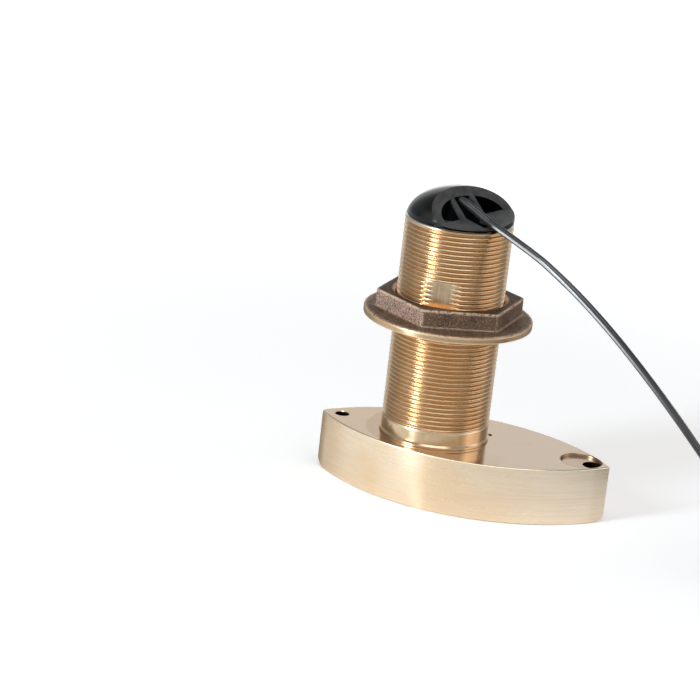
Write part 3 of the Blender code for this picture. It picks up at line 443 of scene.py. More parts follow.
class Wires:
    """Short ways to add and link the nodes of a material or of the world."""

    def __init__(self, tree):
        self.tree = tree

    def put(self, socket, value):
        """Link an output to a socket, or set a plain value or colour on it."""
        if isinstance(value, bpy.types.NodeSocket):
            self.tree.links.new(value, socket)
        elif isinstance(value, tuple) and len(value) == 3 and socket.type == "RGBA":
            socket.default_value = (*value, 1.0)
        else:
            socket.default_value = value

    def node(self, kind, **values):
        made = self.tree.nodes.new("ShaderNode" + kind)
        for socket, value in values.items():
            self.put(made.inputs[socket.replace("_", " ")], value)
        return made

    def span(self, value, low, high, to_low=0.0, to_high=1.0, kind="SMOOTHSTEP"):
        made = self.node("MapRange", Value=value)
        made.interpolation_type = kind
        for name, number in (("From Min", low), ("From Max", high), ("To Min", to_low), ("To Max", to_high)):
            made.inputs[name].default_value = number
        return made.outputs["Result"]

    def math(self, operation, *values):
        made = self.node("Math")
        made.operation = operation
        for socket, value in zip(made.inputs, values):
            self.put(socket, value)
        return made.outputs[0]

    def times(self, first, second):
        return self.math("MULTIPLY", first, second)

    def vector(self, operation, first, second=(0.0, 0.0, 0.0), output="Value"):
        made = self.node("VectorMath", Vector=first)
        made.operation = operation
        made.inputs[1].default_value = second
        return made.outputs[output]

    def dot(self, vector, direction):
        return self.vector("DOT_PRODUCT", vector, direction)

    def axis(self, vector, name):
        return self.node("SeparateXYZ", Vector=vector).outputs[name]


class Look(Wires):
    """A Principled material with procedural nodes."""

    def __init__(self, name, colour, roughness, metallic=0.0, **sockets):
        self.material = bpy.data.materials.new(name)
        self.material.use_nodes = True
        super().__init__(self.material.node_tree)
        self.shader = self.tree.nodes["Principled BSDF"]
        self.shader.inputs["Base Color"].default_value = (*colour, 1.0)
        self.shader.inputs["Roughness"].default_value = roughness
        self.shader.inputs["Metallic"].default_value = metallic
        for socket, value in sockets.items():
            self.shader.inputs[socket.replace("_", " ")].default_value = value

    def place(self):
        """The place in the object's own metres."""
        return self.node("TexCoord").outputs["Object"]

    def level_place(self):
        """The same without its height."""
        return self.vector("MULTIPLY", self.place(), (1.0, 1.0, 0.0), "Vector")

    def normal(self):
        return self.node("NewGeometry").outputs["Normal"]

    def grain(self, scale, stretch=(1.0, 1.0, 1.0), detail=3.0, roughness=0.55):
        """Noise in the object's own metres; stretch multiplies the scale along each axis."""
        mapped = self.node("Mapping", Vector=self.place(), Scale=tuple(scale * s for s in stretch))
        made = self.node("TexNoise", Vector=mapped.outputs["Vector"], Scale=1.0)
        made.inputs["Detail"].default_value = detail
        made.inputs["Roughness"].default_value = roughness
        return made.outputs["Fac"]

    def attribute(self, name):
        made = self.node("Attribute")
        made.attribute_name = name
        return made.outputs["Fac"]

    def between(self, value, rise_low, rise_high, fall_low, fall_high):
        """1 between the rise and the fall, 0 outside them."""
        return self.times(
            self.span(value, rise_low, rise_high), self.span(value, fall_low, fall_high, 1.0, 0.0),
        )

    def mix(self, share, first, second):
        """A colour between two."""
        made = self.node("Mix")
        made.data_type = "RGBA"
        for number, value in ((0, share), (6, first), (7, second)):
            self.put(made.inputs[number], value)
        return made.outputs[2]

    def blend(self, share, first, second):
        """A number between two."""
        made = self.node("Mix", Factor=share)
        self.put(made.inputs[2], first)
        self.put(made.inputs[3], second)
        return made.outputs[0]

    def colour(self, value):
        self.put(self.shader.inputs["Base Color"], value)

    def rough(self, value):
        self.put(self.shader.inputs["Roughness"], value)

    def bump(self, height, distance, strength=1.0):
        made = self.node("Bump", Height=height, Strength=strength, Distance=distance)
        previous = self.shader.inputs["Normal"]
        if previous.is_linked:
            self.tree.links.new(previous.links[0].from_socket, made.inputs["Normal"])
        self.tree.links.new(made.outputs["Normal"], previous)


def plain_look(name, colour, roughness, metallic=0.0, scale=900.0, spread=0.25, relief=0.00003, **sockets):
    """A moulded, cast or wound surface: mottled colour, uneven gloss and a fine relief."""
    look = Look(name, colour, roughness, metallic, **sockets)
    broad = look.grain(scale / 8, detail=2.0)
    fine = look.grain(scale)
    darker = tuple(channel * (1 - spread) for channel in colour)
    lighter = tuple(min(1.0, channel * (1 + spread)) for channel in colour)
    look.colour(look.mix(look.span(broad, 0.35, 0.65), darker, lighter))
    look.rough(look.span(fine, 0.3, 0.7, roughness * 0.85, min(1.0, roughness * 1.15)))
    if relief:
        look.bump(fine, relief, 0.5)
    return look.material


# Painted shade on the base's sides towards the tips: between two places along X, with the share at each and
# the shade's colour
BASE_SIDE_TIP_SHADES = (
    (-0.0550, -0.0500, 0.92, 0.0, (0.22, 0.13, 0.07)),
    (-0.0520, -0.0340, 0.42, 0.0, (0.55, 0.39, 0.25)),
    (0.0790, 0.0820, 0.0, 0.22, (0.70, 0.50, 0.34)),
)


def base_look():
    """Belt-brushed golden sides, painted shade at the tips, a painted highlight on the top edge.

    The top is smoother and greyer, with faint stains, a brown arc left of the stem's foot, a darker
    counterbore floor and painted shade round the counterbore's edge and in the bores.
    """
    look = Look("cast_bronze", (0.78, 0.60, 0.40), 0.36, 1.0)
    along = look.axis(look.place(), "X")
    rise = look.axis(look.normal(), "Z")
    up = look.span(rise, 0.55, 0.85)
    # Painted highlight: the bevel between the sides and the top is coloured pale
    edge = look.between(rise, 0.12, 0.30, 0.88, 0.97)
    blotch = look.span(look.grain(34.0, (1.0, 1.0, 1.6)), 0.38, 0.66)
    lines = look.grain(1.0, (26.0, 26.0, 1500.0), detail=4.0, roughness=0.6)
    side = look.mix(blotch, (0.95, 0.77, 0.57), (0.93, 0.70, 0.455))
    side = look.mix(look.span(along, 0.005, 0.075, 0.0, 0.85), side, (1.0, 0.86, 0.69))
    side = look.mix(look.span(lines, 0.42, 0.70, 0.0, 0.36), side, (0.80, 0.60, 0.40))
    # Painted shade towards both tips of the sides
    for start, end, share, end_share, shade_colour in BASE_SIDE_TIP_SHADES:
        side = look.mix(look.span(along, start, end, share, end_share), side, shade_colour)
    stain = look.span(look.grain(48.0, detail=4.0), 0.50, 0.72, 0.0, 0.6)
    top = look.mix(look.span(along, -0.040, 0.060), (0.58, 0.44, 0.295), (0.565, 0.445, 0.335))
    top = look.mix(stain, top, (0.54, 0.375, 0.24))
    level = look.level_place()
    wobble = look.times(look.grain(120.0, detail=2.0), 0.004)
    out = look.math("ADD", look.vector("LENGTH", level), wobble)
    arc = look.times(look.span(out, 0.0335, 0.0350, 0.45, 0.0), look.span(along, -0.020, -0.010, 1.0, 0.0))
    top = look.mix(arc, top, (0.40, 0.26, 0.15))
    # The counterbore's floor is darker, and painted shade rings its edge
    reach = look.vector("DISTANCE", level, (COUNTERBORE_X, COUNTERBORE_Y, 0.0))
    radius = COUNTERBORE_RADIUS
    top = look.mix(look.span(reach, radius - 0.0003, radius, 0.45, 0.0), top, (0.42, 0.29, 0.19))
    rim = look.times(
        look.span(reach, radius - 0.0012, radius - 0.0004),
        look.span(reach, radius + 0.0003, radius + 0.0008, 0.85, 0.0),
    )
    top = look.mix(rim, top, (0.26, 0.16, 0.09))
    # The bevel takes the painted highlight's pale colour
    body = look.mix(edge, look.mix(up, side, top), (1.0, 0.88, 0.64))
    # Painted shade in the counterbore and the bolt holes
    look.colour(look.mix(look.attribute("bore"), body, (0.13, 0.075, 0.04)))
    side_rough = look.span(lines, 0.3, 0.7, 0.26, 0.34)
    top_rough = look.span(look.grain(160.0, detail=4.0), 0.3, 0.7, 0.11, 0.17)
    look.rough(look.blend(up, side_rough, top_rough))
    look.bump(lines, 0.00004, 0.5)
    look.bump(look.grain(420.0), 0.00003, 0.25)
    return look.material


def stem_look():
    """Golden crests over darker roots, a paler milled flat with upright tool lines, painted light and shade
    on the rim.
    """
    look = Look("stem_bronze", (0.72, 0.52, 0.32), 0.24, 1.0)
    depth = look.attribute("thread_depth")
    flat = look.attribute("milled")
    patch = look.span(look.grain(55.0, (1.0, 1.0, 2.5)), 0.35, 0.7)
    crest = look.mix(patch, (0.77, 0.58, 0.38), (0.72, 0.50, 0.29))
    colour = look.mix(look.span(depth, 0.10, 0.95, 0.0, 0.80), crest, (0.60, 0.385, 0.21))
    tool = look.grain(1.0, (2100.0, 2100.0, 12.0), detail=2.0)
    milled = look.mix(look.span(tool, 0.40, 0.62), (1.0, 0.76, 0.48), (0.90, 0.60, 0.35))
    colour = look.mix(flat, colour, milled)
    # Painted shade on the rim under the cap's sill; a painted highlight on the rest of the rim
    colour = look.mix(look.attribute("rim_painted_shade"), colour, (0.10, 0.06, 0.035))
    look.colour(look.mix(look.attribute("rim"), colour, (0.92, 0.91, 0.88)))
    look.rough(look.span(look.grain(220.0), 0.3, 0.7, 0.19, 0.26))
    look.bump(look.times(tool, flat), 0.00003, 0.6)
    return look.material


# The side of the nut with painted light looks this way
NUT_LIT_SIDE_AZIMUTH = -49.0


def nut_look():
    """Sand-cast brown bronze, painted light on one side, painted shade on its top, worn on its edges.

    A bright crust runs round the flange, whose rim is machined.
    """
    look = Look("nut_bronze", (0.20, 0.13, 0.09), 0.5, 1.0)
    machined = look.attribute("machined")
    sand = look.grain(1350.0, detail=2.0, roughness=0.5)
    speck = look.span(look.grain(2100.0, detail=1.0), 0.52, 0.68)
    broad = look.span(look.grain(95.0), 0.35, 0.68)
    cast = look.mix(broad, (0.130, 0.080, 0.055), (0.205, 0.132, 0.090))
    cast = look.mix(look.times(speck, 0.60), cast, (0.60, 0.45, 0.34))
    # Painted light and lit grains on the faces turned towards the key lamp
    lit_side = look.span(look.dot(look.normal(), lamp_direction(NUT_LIT_SIDE_AZIMUTH, 0.0)), 0.80, 0.97)
    lit_grains = look.span(look.grain(1700.0, detail=2.0), 0.40, 0.60, 0.18, 0.85)
    cast = look.mix(look.times(lit_side, lit_grains), cast, (0.70, 0.50, 0.40))
    cast = look.mix(look.span(sand, 0.50, 0.34, 0.0, 0.6), cast, (0.09, 0.055, 0.038))
    # Painted shade on the hexagon's top face
    top = BASE_HEIGHT + NUT_HEIGHT_ON_STEM + NUT_HEX_TOP
    shade = look.span(look.axis(look.place(), "Z"), top - 0.0010, top - 0.0004, 0.0, 0.55)
    cast = look.mix(shade, cast, (0.05, 0.028, 0.018))
    out = look.vector("LENGTH", look.level_place())
    crust = look.span(out, NUT_FLANGE_RADIUS - 0.0017, NUT_FLANGE_RADIUS - 0.0007, 0.0, 0.85)
    worn = look.math("MAXIMUM", look.attribute("wear"), crust)
    worn = look.times(worn, look.span(look.grain(900.0), 0.36, 0.54, 0.15, 1.0))
    cast = look.mix(worn, cast, (0.80, 0.60, 0.42))
    turned = look.mix(look.span(look.grain(60.0), 0.35, 0.65), (0.90, 0.64, 0.39), (0.82, 0.54, 0.30))
    look.colour(look.mix(machined, cast, turned))
    look.rough(look.blend(machined, look.span(sand, 0.3, 0.7, 0.55, 0.72), 0.27))
    look.bump(look.times(sand, look.math("SUBTRACT", 1.0, machined)), 0.0005, 1.0)
    return look.material


# Base

def tip_centre(tip_radius):
    return math.sqrt((LENS_RADIUS - tip_radius) ** 2 - LENS_DROP ** 2)


def base_outline(inset=0.0, arc_steps=110, tip_steps=14):
    """The pointed oval as (x, y) points: two long arcs joined by small round tips."""
    right = tip_centre(TIP_RADIUS_RIGHT)
    left = tip_centre(TIP_RADIUS_LEFT)
    right_angle = math.atan2(LENS_DROP, right)
    left_angle = math.pi - math.atan2(LENS_DROP, left)
    left_sweep = 2 * (math.pi - left_angle)
    middle = LENS_MIDDLE_X
    radius = LENS_RADIUS - inset
    sweep = left_angle - right_angle
    points = arc(middle, -LENS_DROP, radius, right_angle, sweep, arc_steps)
    points += arc(middle - left, 0.0, TIP_RADIUS_LEFT - inset, left_angle, left_sweep, tip_steps)
    points += arc(middle, LENS_DROP, radius, -left_angle, sweep, arc_steps)
    points += arc(middle + right, 0.0, TIP_RADIUS_RIGHT - inset, -right_angle, 2 * right_angle, tip_steps)
    return points


def cavity_outline():
    radius = LENS_RADIUS - CAVITY_WALL
    steps = 40
    upper = []
    for step in range(steps + 1):
        x = CAVITY_RIGHT + (-CAVITY_LEFT - CAVITY_RIGHT) * step / steps
        upper.append((x, math.sqrt(radius ** 2 - (x - LENS_MIDDLE_X) ** 2) - LENS_DROP))
    return upper + [(x, -y) for x, y in reversed(upper)]


def corner_tool(name, tip_x, radius, side):
    centre_x = tip_x - side * radius
    points = [(tip_x + side * OVERCUT, -OVERCUT), (centre_x, -OVERCUT)]
    steps = 18
    for step in range(steps + 1):
        angle = math.pi / 2 * step / steps
        points.append((centre_x + side * radius * math.sin(angle), radius * (1 - math.cos(angle))))
    points.append((tip_x + side * OVERCUT, radius))
    return solid(name, extruded_side(points, BASE_HALF_WIDTH))


HOLE_EDGE = 0.0003


def hole_tool(name, radius, depth, x, y=0.0, mouth=HOLE_EDGE, steps=48):
    """A drilled hole in the base's top with a broken edge at its mouth."""
    low = BASE_HEIGHT - depth
    points = (
        (0.0, low), (radius, low), (radius, BASE_HEIGHT - mouth),
        (radius + mouth + OVERCUT, BASE_HEIGHT + OVERCUT), (0.0, BASE_HEIGHT + OVERCUT),
    )
    return solid(name, revolved(points, steps, closed=False), (x, y, 0.0))


def lock_pin_place():
    return (LOCK_PIN_OFFSET * math.cos(LOCK_PIN_ANGLE), LOCK_PIN_OFFSET * math.sin(LOCK_PIN_ANGLE))


def mark_bore_shade(mesh):
    """Mark painted shade on the walls and mouth of the counterbore and in the two bolt holes."""
    bore = mesh.attributes.new("bore", "FLOAT", "FACE")
    holes = (
        (COUNTERBORE_X, COUNTERBORE_Y, COUNTERBORE_RADIUS, 0.60),
        (RIGHT_HOLE_X, RIGHT_HOLE_Y, RIGHT_HOLE_RADIUS, 1.0),
        (LEFT_HOLE_X, 0.0, LEFT_HOLE_RADIUS, 1.0),
    )
    for polygon in mesh.polygons:
        centre = polygon.center
        mark = bore.data[polygon.index]
        mouth = math.hypot(centre.x - COUNTERBORE_X, centre.y - COUNTERBORE_Y) < COUNTERBORE_RADIUS + GAP
        at_top = centre.z > BASE_HEIGHT - HOLE_EDGE
        if mouth and at_top and polygon.normal.z < 0.95:
            mark.value = 0.8
        if at_top or centre.z < BASE_HEIGHT - RIGHT_HOLE_DEPTH - GAP:
            continue
        floor = polygon.normal.z > 0.5 and centre.z > BASE_HEIGHT - COUNTERBORE_DEPTH - GAP
        for x, y, radius, shade_share in holes:
            if math.hypot(centre.x - x, centre.y - y) < radius + GAP and not floor:
                mark.value = max(mark.value, shade_share)


def make_base(look):
    edge = 0.00055
    foot_edge = 0.0002
    sections = [(base_outline(foot_edge), 0.0), (base_outline(), foot_edge)]
    for step in range(5):
        angle = math.pi / 2 * step / 4
        inset = edge * (1 - math.cos(angle))
        sections.append((base_outline(inset), BASE_HEIGHT - edge * (1 - math.sin(angle))))
    base = solid("base_tool", lofted(sections))
    left_tip = LENS_MIDDLE_X - tip_centre(TIP_RADIUS_LEFT) - TIP_RADIUS_LEFT
    right_tip = LENS_MIDDLE_X + tip_centre(TIP_RADIUS_RIGHT) + TIP_RADIUS_RIGHT
    combine(base, corner_tool("corner_left_tool", left_tip, LOWER_CORNER_LEFT, -1))
    combine(base, corner_tool("corner_right_tool", right_tip, LOWER_CORNER_RIGHT, 1))
    cavity = lofted(((cavity_outline(), -OVERCUT), (cavity_outline(), CAVITY_TOP)))
    combine(base, solid("cavity_tool", cavity))
    seat = disc(STEM_SPIGOT_RADIUS + GAP, CAVITY_TOP - OVERCUT, BASE_HEIGHT + OVERCUT, 96)
    combine(base, solid("seat_tool", seat))
    holes = (
        ("left_hole_tool", LEFT_HOLE_RADIUS, LEFT_HOLE_DEPTH, LEFT_HOLE_X),
        ("counterbore_tool", COUNTERBORE_RADIUS, COUNTERBORE_DEPTH, COUNTERBORE_X, COUNTERBORE_Y, 0.0002, 72),
        ("right_hole_tool", RIGHT_HOLE_RADIUS, RIGHT_HOLE_DEPTH, RIGHT_HOLE_X, RIGHT_HOLE_Y, 0.0),
        ("lock_hole_tool", LOCK_PIN_RADIUS + GAP, LOCK_PIN_DEPTH + GAP, *lock_pin_place(), 0.0, 24),
    )
    for hole in holes:
        combine(base, hole_tool(*hole))
    mesh = settled(base, "base", 30.0)
    mark_bore_shade(mesh)
    weigh_normals(make_object("base", mesh, nodes=["housing"], looks=[look]))


# Stem

THREAD_PITCH = 0.0254 / 12
THREAD_DEPTH = 0.00125
THREAD_LOW = BASE_HEIGHT + 0.0073
THREAD_HIGH = RIM_Z - 0.0012
# One turn's section: (share of the pitch, share of the depth)
THREAD_FORM = (
    (0.00, 0.03), (0.07, 0.00), (0.14, 0.04), (0.24, 0.32), (0.36, 0.68),
    (0.46, 0.95), (0.53, 1.00), (0.60, 0.95), (0.71, 0.66), (0.85, 0.28),
)
STEM_COLUMNS = 120
SEAM_DISTANCE = 2e-6
LEVEL_TOLERANCE = 0.00001
# The rim's chamfer is painted pale as a highlight, with painted shade where the cap's sill shades it
RIM_SHADE_ANGLE = math.radians(-61.0)
RIM_SHADE_HALF = math.radians(28.0)
RIM_SHADE_FADE = math.radians(16.0)


def flat_radius(angle):
    """Distance from the axis to the milled flat's plane in one direction."""
    lean = math.cos(angle - FLAT_ANGLE)
    if lean < 0.5:
        return 1.0
    return (STEM_RADIUS - FLAT_DEPTH) / lean


def make_stem(look):
    """The thread is one helical sheet whose rows run along the turns; its ends meet flat rings."""
    foot = BASE_HEIGHT + GAP + STEM_COLLAR_HEIGHT + STEM_COLLAR_RADIUS - STEM_RADIUS
    rows = len(THREAD_FORM)
    turns = math.ceil((THREAD_HIGH - THREAD_LOW) / THREAD_PITCH) + 2
    bm = bmesh.new()
    depth_layer = bm.verts.layers.float.new("thread_depth")
    milled_layer = bm.verts.layers.float.new("milled")
    rim_highlight_layer = bm.verts.layers.float.new("rim")
    rim_shade_layer = bm.verts.layers.float.new("rim_painted_shade")

    def vertex(angle, radius, z, depth=0.0):
        limit = flat_radius(angle)
        milled = FLAT_LOW < z - BASE_HEIGHT < FLAT_HIGH and radius > limit and radius > STEM_BORE_RADIUS + GAP
        if milled:
            radius = limit
        vert = bm.verts.new((radius * math.cos(angle), radius * math.sin(angle), z))
        vert[depth_layer] = 0.0 if milled else depth
        vert[milled_layer] = 1.0 if milled else 0.0
        # Painted highlight and painted shade on the rim, by direction round the stem
        if z > RIM_Z - STEM_RIM_CHAMFER - LEVEL_TOLERANCE:
            turned = abs((angle - RIM_SHADE_ANGLE + math.pi) % (2 * math.pi) - math.pi)
            bright = min(max((turned - RIM_SHADE_HALF) / RIM_SHADE_FADE, 0.0), 1.0)
            vert[rim_highlight_layer] = bright if z > RIM_Z - LEVEL_TOLERANCE else 0.25 * bright
            vert[rim_shade_layer] = 1.0 - bright
        return vert

    columns = []
    for column in range(STEM_COLUMNS):
        angle = 2 * math.pi * column / STEM_COLUMNS
        line = []
        for number in range(-rows, turns * rows + 1):
            turn, row = divmod(number, rows)
            share, cut = THREAD_FORM[row]
            z = THREAD_LOW + (turn + share + column / STEM_COLUMNS) * THREAD_PITCH
            z = min(max(z, THREAD_LOW), THREAD_HIGH)
            fade = min(1.0, (z - THREAD_LOW) / THREAD_PITCH, (THREAD_HIGH - z) / (0.5 * THREAD_PITCH))
            fade = fade * fade * (3 - 2 * fade)
            line.append(vertex(angle, STEM_RADIUS - THREAD_DEPTH * cut * fade, z, cut * fade))
        columns.append(line)
    for column in range(STEM_COLUMNS):
        line = columns[column]
        after = columns[(column + 1) % STEM_COLUMNS]
        shift = rows if column == STEM_COLUMNS - 1 else 0
        for number in range(len(line) - 1 - shift):
            bm.faces.new((
                line[number], after[number + shift], after[number + 1 + shift], line[number + 1],
            ))
    chamfer = STEM_RIM_CHAMFER
    profile = (
        (STEM_RADIUS, THREAD_HIGH), (STEM_RADIUS, RIM_Z - chamfer), (STEM_RADIUS - chamfer, RIM_Z),
        (STEM_BORE_RADIUS, RIM_Z), (STEM_BORE_RADIUS, foot), (STEM_RADIUS, foot), (STEM_RADIUS, THREAD_LOW),
    )
    rings = []
    for radius, z in profile:
        rings.append([
            vertex(2 * math.pi * column / STEM_COLUMNS, radius, z) for column in range(STEM_COLUMNS)
        ])
    bridge(bm, rings)
    bmesh.ops.remove_doubles(bm, verts=bm.verts, dist=SEAM_DISTANCE)
    make_piece("stem_thread", bm, ["stem"], look, 50.0)

    low = BASE_HEIGHT + 0.00003
    chamfer = 0.00012
    lip = foot - 0.0007
    profile = (
        (STEM_BORE_RADIUS, CAVITY_TOP + GAP), (STEM_SPIGOT_RADIUS, CAVITY_TOP + GAP),
        (STEM_SPIGOT_RADIUS, low), (STEM_COLLAR_RADIUS - chamfer, low),
        (STEM_COLLAR_RADIUS, low + chamfer), (STEM_COLLAR_RADIUS, lip - chamfer),
        (STEM_COLLAR_RADIUS - chamfer, lip), (STEM_RADIUS, foot),
        (STEM_BORE_RADIUS, foot),
    )
    collar = solid("collar_tool", revolved(profile, STEM_COLUMNS))
    x, y = lock_pin_place()
    notch = disc(LOCK_PIN_RADIUS + GAP, BASE_HEIGHT, foot + OVERCUT, 24)
    combine(collar, solid("notch_tool", notch, (x, y, 0.0)))
    mesh = settled(collar, "stem_foot", 40.0)
    make_object("stem_foot", mesh, nodes=["stem"], looks=[look])

    high = BASE_HEIGHT - LOCK_PIN_SUNK
    radius = LOCK_PIN_RADIUS
    points = (
        (0.0, BASE_HEIGHT - LOCK_PIN_DEPTH), (radius, BASE_HEIGHT - LOCK_PIN_DEPTH),
        (radius, high - 0.0003), (radius - 0.0003, high), (0.0, high),
    )
    bm = revolved(points, 32, closed=False)
    bmesh.ops.translate(bm, verts=bm.verts, vec=(x, y, 0.0))
    pin_look = plain_look("pin_steel", (0.16, 0.14, 0.12), 0.45, 1.0)
    make_piece("lock_pin", bm, ["stem_lock_pin"], pin_look)


# Hull nut

NUT_CORNER = 0.0007
NUT_COLUMNS = 48
# How far the columns are pulled to the corners
NUT_COLUMN_PULL = 0.115
# The sand's relief on the cast faces
SAND_SCALE = 260.0
SAND_RELIEF = 0.00013


def hex_radius(angle):
    """A hexagon's radius with its corners rounded."""
    inner = NUT_HEX_CORNER_RADIUS * math.cos(math.pi / 6)
    turned = (angle - NUT_HEX_CORNER_ANGLE) % (math.pi / 3) - math.pi / 6
    straight = inner / math.cos(turned)
    reach = NUT_HEX_CORNER_RADIUS - NUT_CORNER * 0.45
    over = straight - (reach - NUT_CORNER)
    if over <= 0.0:
        return straight
    return reach - NUT_CORNER + NUT_CORNER * math.tanh(over / NUT_CORNER)


def nut_angles():
    """Directions for the nut's columns, closer together at the hexagon's corners."""
    angles = []
    for side in range(6):
        start = NUT_HEX_CORNER_ANGLE + side * math.pi / 3
        for step in range(NUT_COLUMNS):
            share = step / NUT_COLUMNS
            share -= NUT_COLUMN_PULL * math.sin(2 * math.pi * share)
            angles.append(start + share * math.pi / 3)
    return angles


def make_nut(look):
    """Rows from the bore's foot round the flange and the hexagon and back, closed on themselves."""
    bore = STEM_RADIUS + GAP
    low = BASE_HEIGHT + NUT_HEIGHT_ON_STEM
    rim = NUT_FLANGE_RADIUS
    edge = 0.00045
    foot = 0.0004
    rows = []

    def row(height, round_part, offset=0.0, share=0.0, wear=0.0, machined=0.0, rough=0.0):
        """The radius goes by share from the round part's to the hexagon's plus a small offset."""
        rows.append((height, round_part, offset, share, wear, machined, rough))

    row(foot, bore, machined=1.0)
    row(0.0, bore + foot, machined=1.0)
    for step in range(1, 8):
        row(0.0, bore + (rim - edge - bore) * step / 8, machined=1.0)
    row(0.0, rim - edge, machined=1.0)
    row(edge * 0.3, rim - edge * 0.3, machined=1.0)
    row(edge, rim, machined=1.0)
    for step in range(1, 4):
        row(edge + (NUT_RIM_THICKNESS - 2 * edge) * step / 4, rim, machined=1.0)
    row(NUT_RIM_THICKNESS - edge, rim, machined=1.0, wear=0.4)
    row(NUT_RIM_THICKNESS - edge * 0.3, rim - edge * 0.3, wear=1.0, machined=0.6)
    row(NUT_RIM_THICKNESS, rim - edge, wear=0.8)
    fillet = 0.0005
    for step in range(1, 9):
        share = step / 9
        height = NUT_RIM_THICKNESS + (NUT_HEX_BASE - NUT_RIM_THICKNESS) * share
        row(height, rim - edge, fillet, share, wear=max(0.0, 0.35 - share), rough=1.0)
    row(NUT_HEX_BASE - 0.1 * fillet, 0.0, fillet, 1.0, wear=0.5, rough=0.6)
    row(NUT_HEX_BASE + 0.3 * fillet, 0.0, 0.25 * fillet, 1.0, wear=0.35, rough=0.6)
    side_rows = 16
    top_edge = 0.0006
    bottom = NUT_HEX_BASE + fillet
    high = NUT_HEX_TOP - top_edge
    for step in range(side_rows + 1):
        share = step / side_rows
        row(bottom + (high - bottom) * share, 0.0, 0.0, 1.0, wear=max(0.0, share * 6 - 5.2), rough=1.0)
    row(NUT_HEX_TOP - 0.3 * top_edge, 0.0, -0.3 * top_edge, 1.0, wear=0.9)
    row(NUT_HEX_TOP, 0.0, -top_edge, 1.0, wear=0.5)
    mouth = bore + NUT_BORE_CHAMFER
    for step in range(1, 11):
        share = step / 11
        row(NUT_HEX_TOP, mouth, -top_edge, 1.0 - share, wear=max(0.0, 0.45 - 3 * share), rough=1.0)
    row(NUT_HEX_TOP, mouth + 0.0002, wear=0.5)
    row(NUT_HEX_TOP - 0.0002, mouth, wear=0.6, machined=0.6)
    wall = NUT_HEX_TOP - NUT_BORE_CHAMFER
    for step in range(5):
        row(wall - (wall - foot) * step / 5, bore, machined=1.0)

    bm = bmesh.new()
    wear_layer = bm.verts.layers.float.new("wear")
    machined_layer = bm.verts.layers.float.new("machined")
    angles = nut_angles()
    loops = []
    for height, round_part, offset, share, wear, machined, rough in rows:
        loop = []
        for angle in angles:
            around = hex_radius(angle)
            radius = round_part + (around + offset - round_part) * share
            corner = max(0.0, (around - NUT_HEX_CORNER_RADIUS * 0.983) / (NUT_HEX_CORNER_RADIUS * 0.012))
            place = Vector((radius * math.cos(angle), radius * math.sin(angle), low + height))
            vert = bm.verts.new(place)
            on_side = 1.0 if share == 1.0 and round_part == 0.0 else 0.0
            vert[wear_layer] = min(1.0, max(wear, on_side * min(1.0, corner) * 0.65))
            vert[machined_layer] = machined
            if rough:
                bumpy = noise.fractal(place * SAND_SCALE, 0.6, 2.0, 3) * SAND_RELIEF * rough
                outward = Vector((math.cos(angle), math.sin(angle), 0.0))
                vert.co -= outward * abs(bumpy) * on_side
                vert.co.z -= abs(bumpy) * (1.0 - on_side)
            loop.append(vert)
        loops.append(loop)
    bridge(bm, loops + loops[:1])
    make_piece("nut", bm, ["hull_nut"], look, 42.0, NUT_BODY)


# Cable cap

# The CAD's coarser dome ends this much lower
CAP_CROWN_FIT = 0.00006


def dome_lean(height):
    """How far the dome is shifted at a height over the stem's rim."""
    share = min(max(height / CAP_HEIGHT, 0.0), 1.0)
    return CAP_DOME_LEAN * (1 - (1 - share) ** 2)


def dome_mesh(inset, low, foot=(), steps=112, rows=26):
    radius = CAP_RADIUS - inset
    height = CAP_HEIGHT - inset - CAP_CROWN_FIT
    rim = radius * (1 - (low / height) ** CAP_DOME_POWER) ** (1 / CAP_DOME_POWER)
    profile = list(foot) or [(0.0, low)]
    profile.append((rim, low))
    for row in range(1, rows):
        share = math.pi / 2 * row / rows
        out = radius * math.cos(share) ** (2 / CAP_DOME_POWER)
        up = height * math.sin(share) ** (2 / CAP_DOME_POWER)
        if up > low + GAP:
            profile.append((out, up))
    profile.append((0.0, height))
    bm = revolved(profile, steps, closed=False)
    for vert in bm.verts:
        vert.co.x += dome_lean(vert.co.z)
    return bm


def spigot_outline():
    outer = STEM_BORE_RADIUS - GAP
    groove = outer - 2 * SEAL_SECTION_RADIUS - GAP
    half = SEAL_SECTION_RADIUS + GAP
    return (
        (0.0, -CAP_SPIGOT_DEPTH), (outer, -CAP_SPIGOT_DEPTH), (outer, -SEAL_DEPTH - half),
        (groove, -SEAL_DEPTH - half), (groove, -SEAL_DEPTH + half), (outer, -SEAL_DEPTH + half),
        (outer, GAP),
    )


def face_x(height):
    return CAP_FACE_REACH - CAP_FACE_RUN * height


def cap_tool(name, bm):
    return solid(name, bm, (0.0, 0.0, RIM_Z), CAP_FACING)


def sill_height(y):
    return CAP_SILL_HEIGHT + CAP_SILL_TILT * y


def face_tool(name, back=0.0):
    far = 2 * CAP_RADIUS

    def side(y):
        height = sill_height(y)
        fold_x = face_x(height)
        return (
            (fold_x - back, height),
            (far, height - CAP_SILL_SLOPE * (far - fold_x)),
            (far, far),
            (face_x(far) - back, far),
        )

    return cap_tool(name, between_sides(side(-far), side(far), far))


def front_block(name, setback):
    far = 2 * CAP_RADIUS

    def side(y):
        start = face_x(sill_height(y)) - setback
        return ((start, -far), (far, -far), (far, far), (start, far))

    return cap_tool(name, between_sides(side(-far), side(far), far))


def inner_dome_tool(name, inset, low, setback=0.0):
    return combine(cap_tool(name, dome_mesh(inset, low)), front_block("front_" + name, setback))


def channel_tool(name, bm, across):
    sideways = CHANNEL_OFFSET + across
    place = (-sideways * math.sin(CHANNEL_ANGLE), sideways * math.cos(CHANNEL_ANGLE), RIM_Z)
    return solid(name, bm, place, CHANNEL_ANGLE)


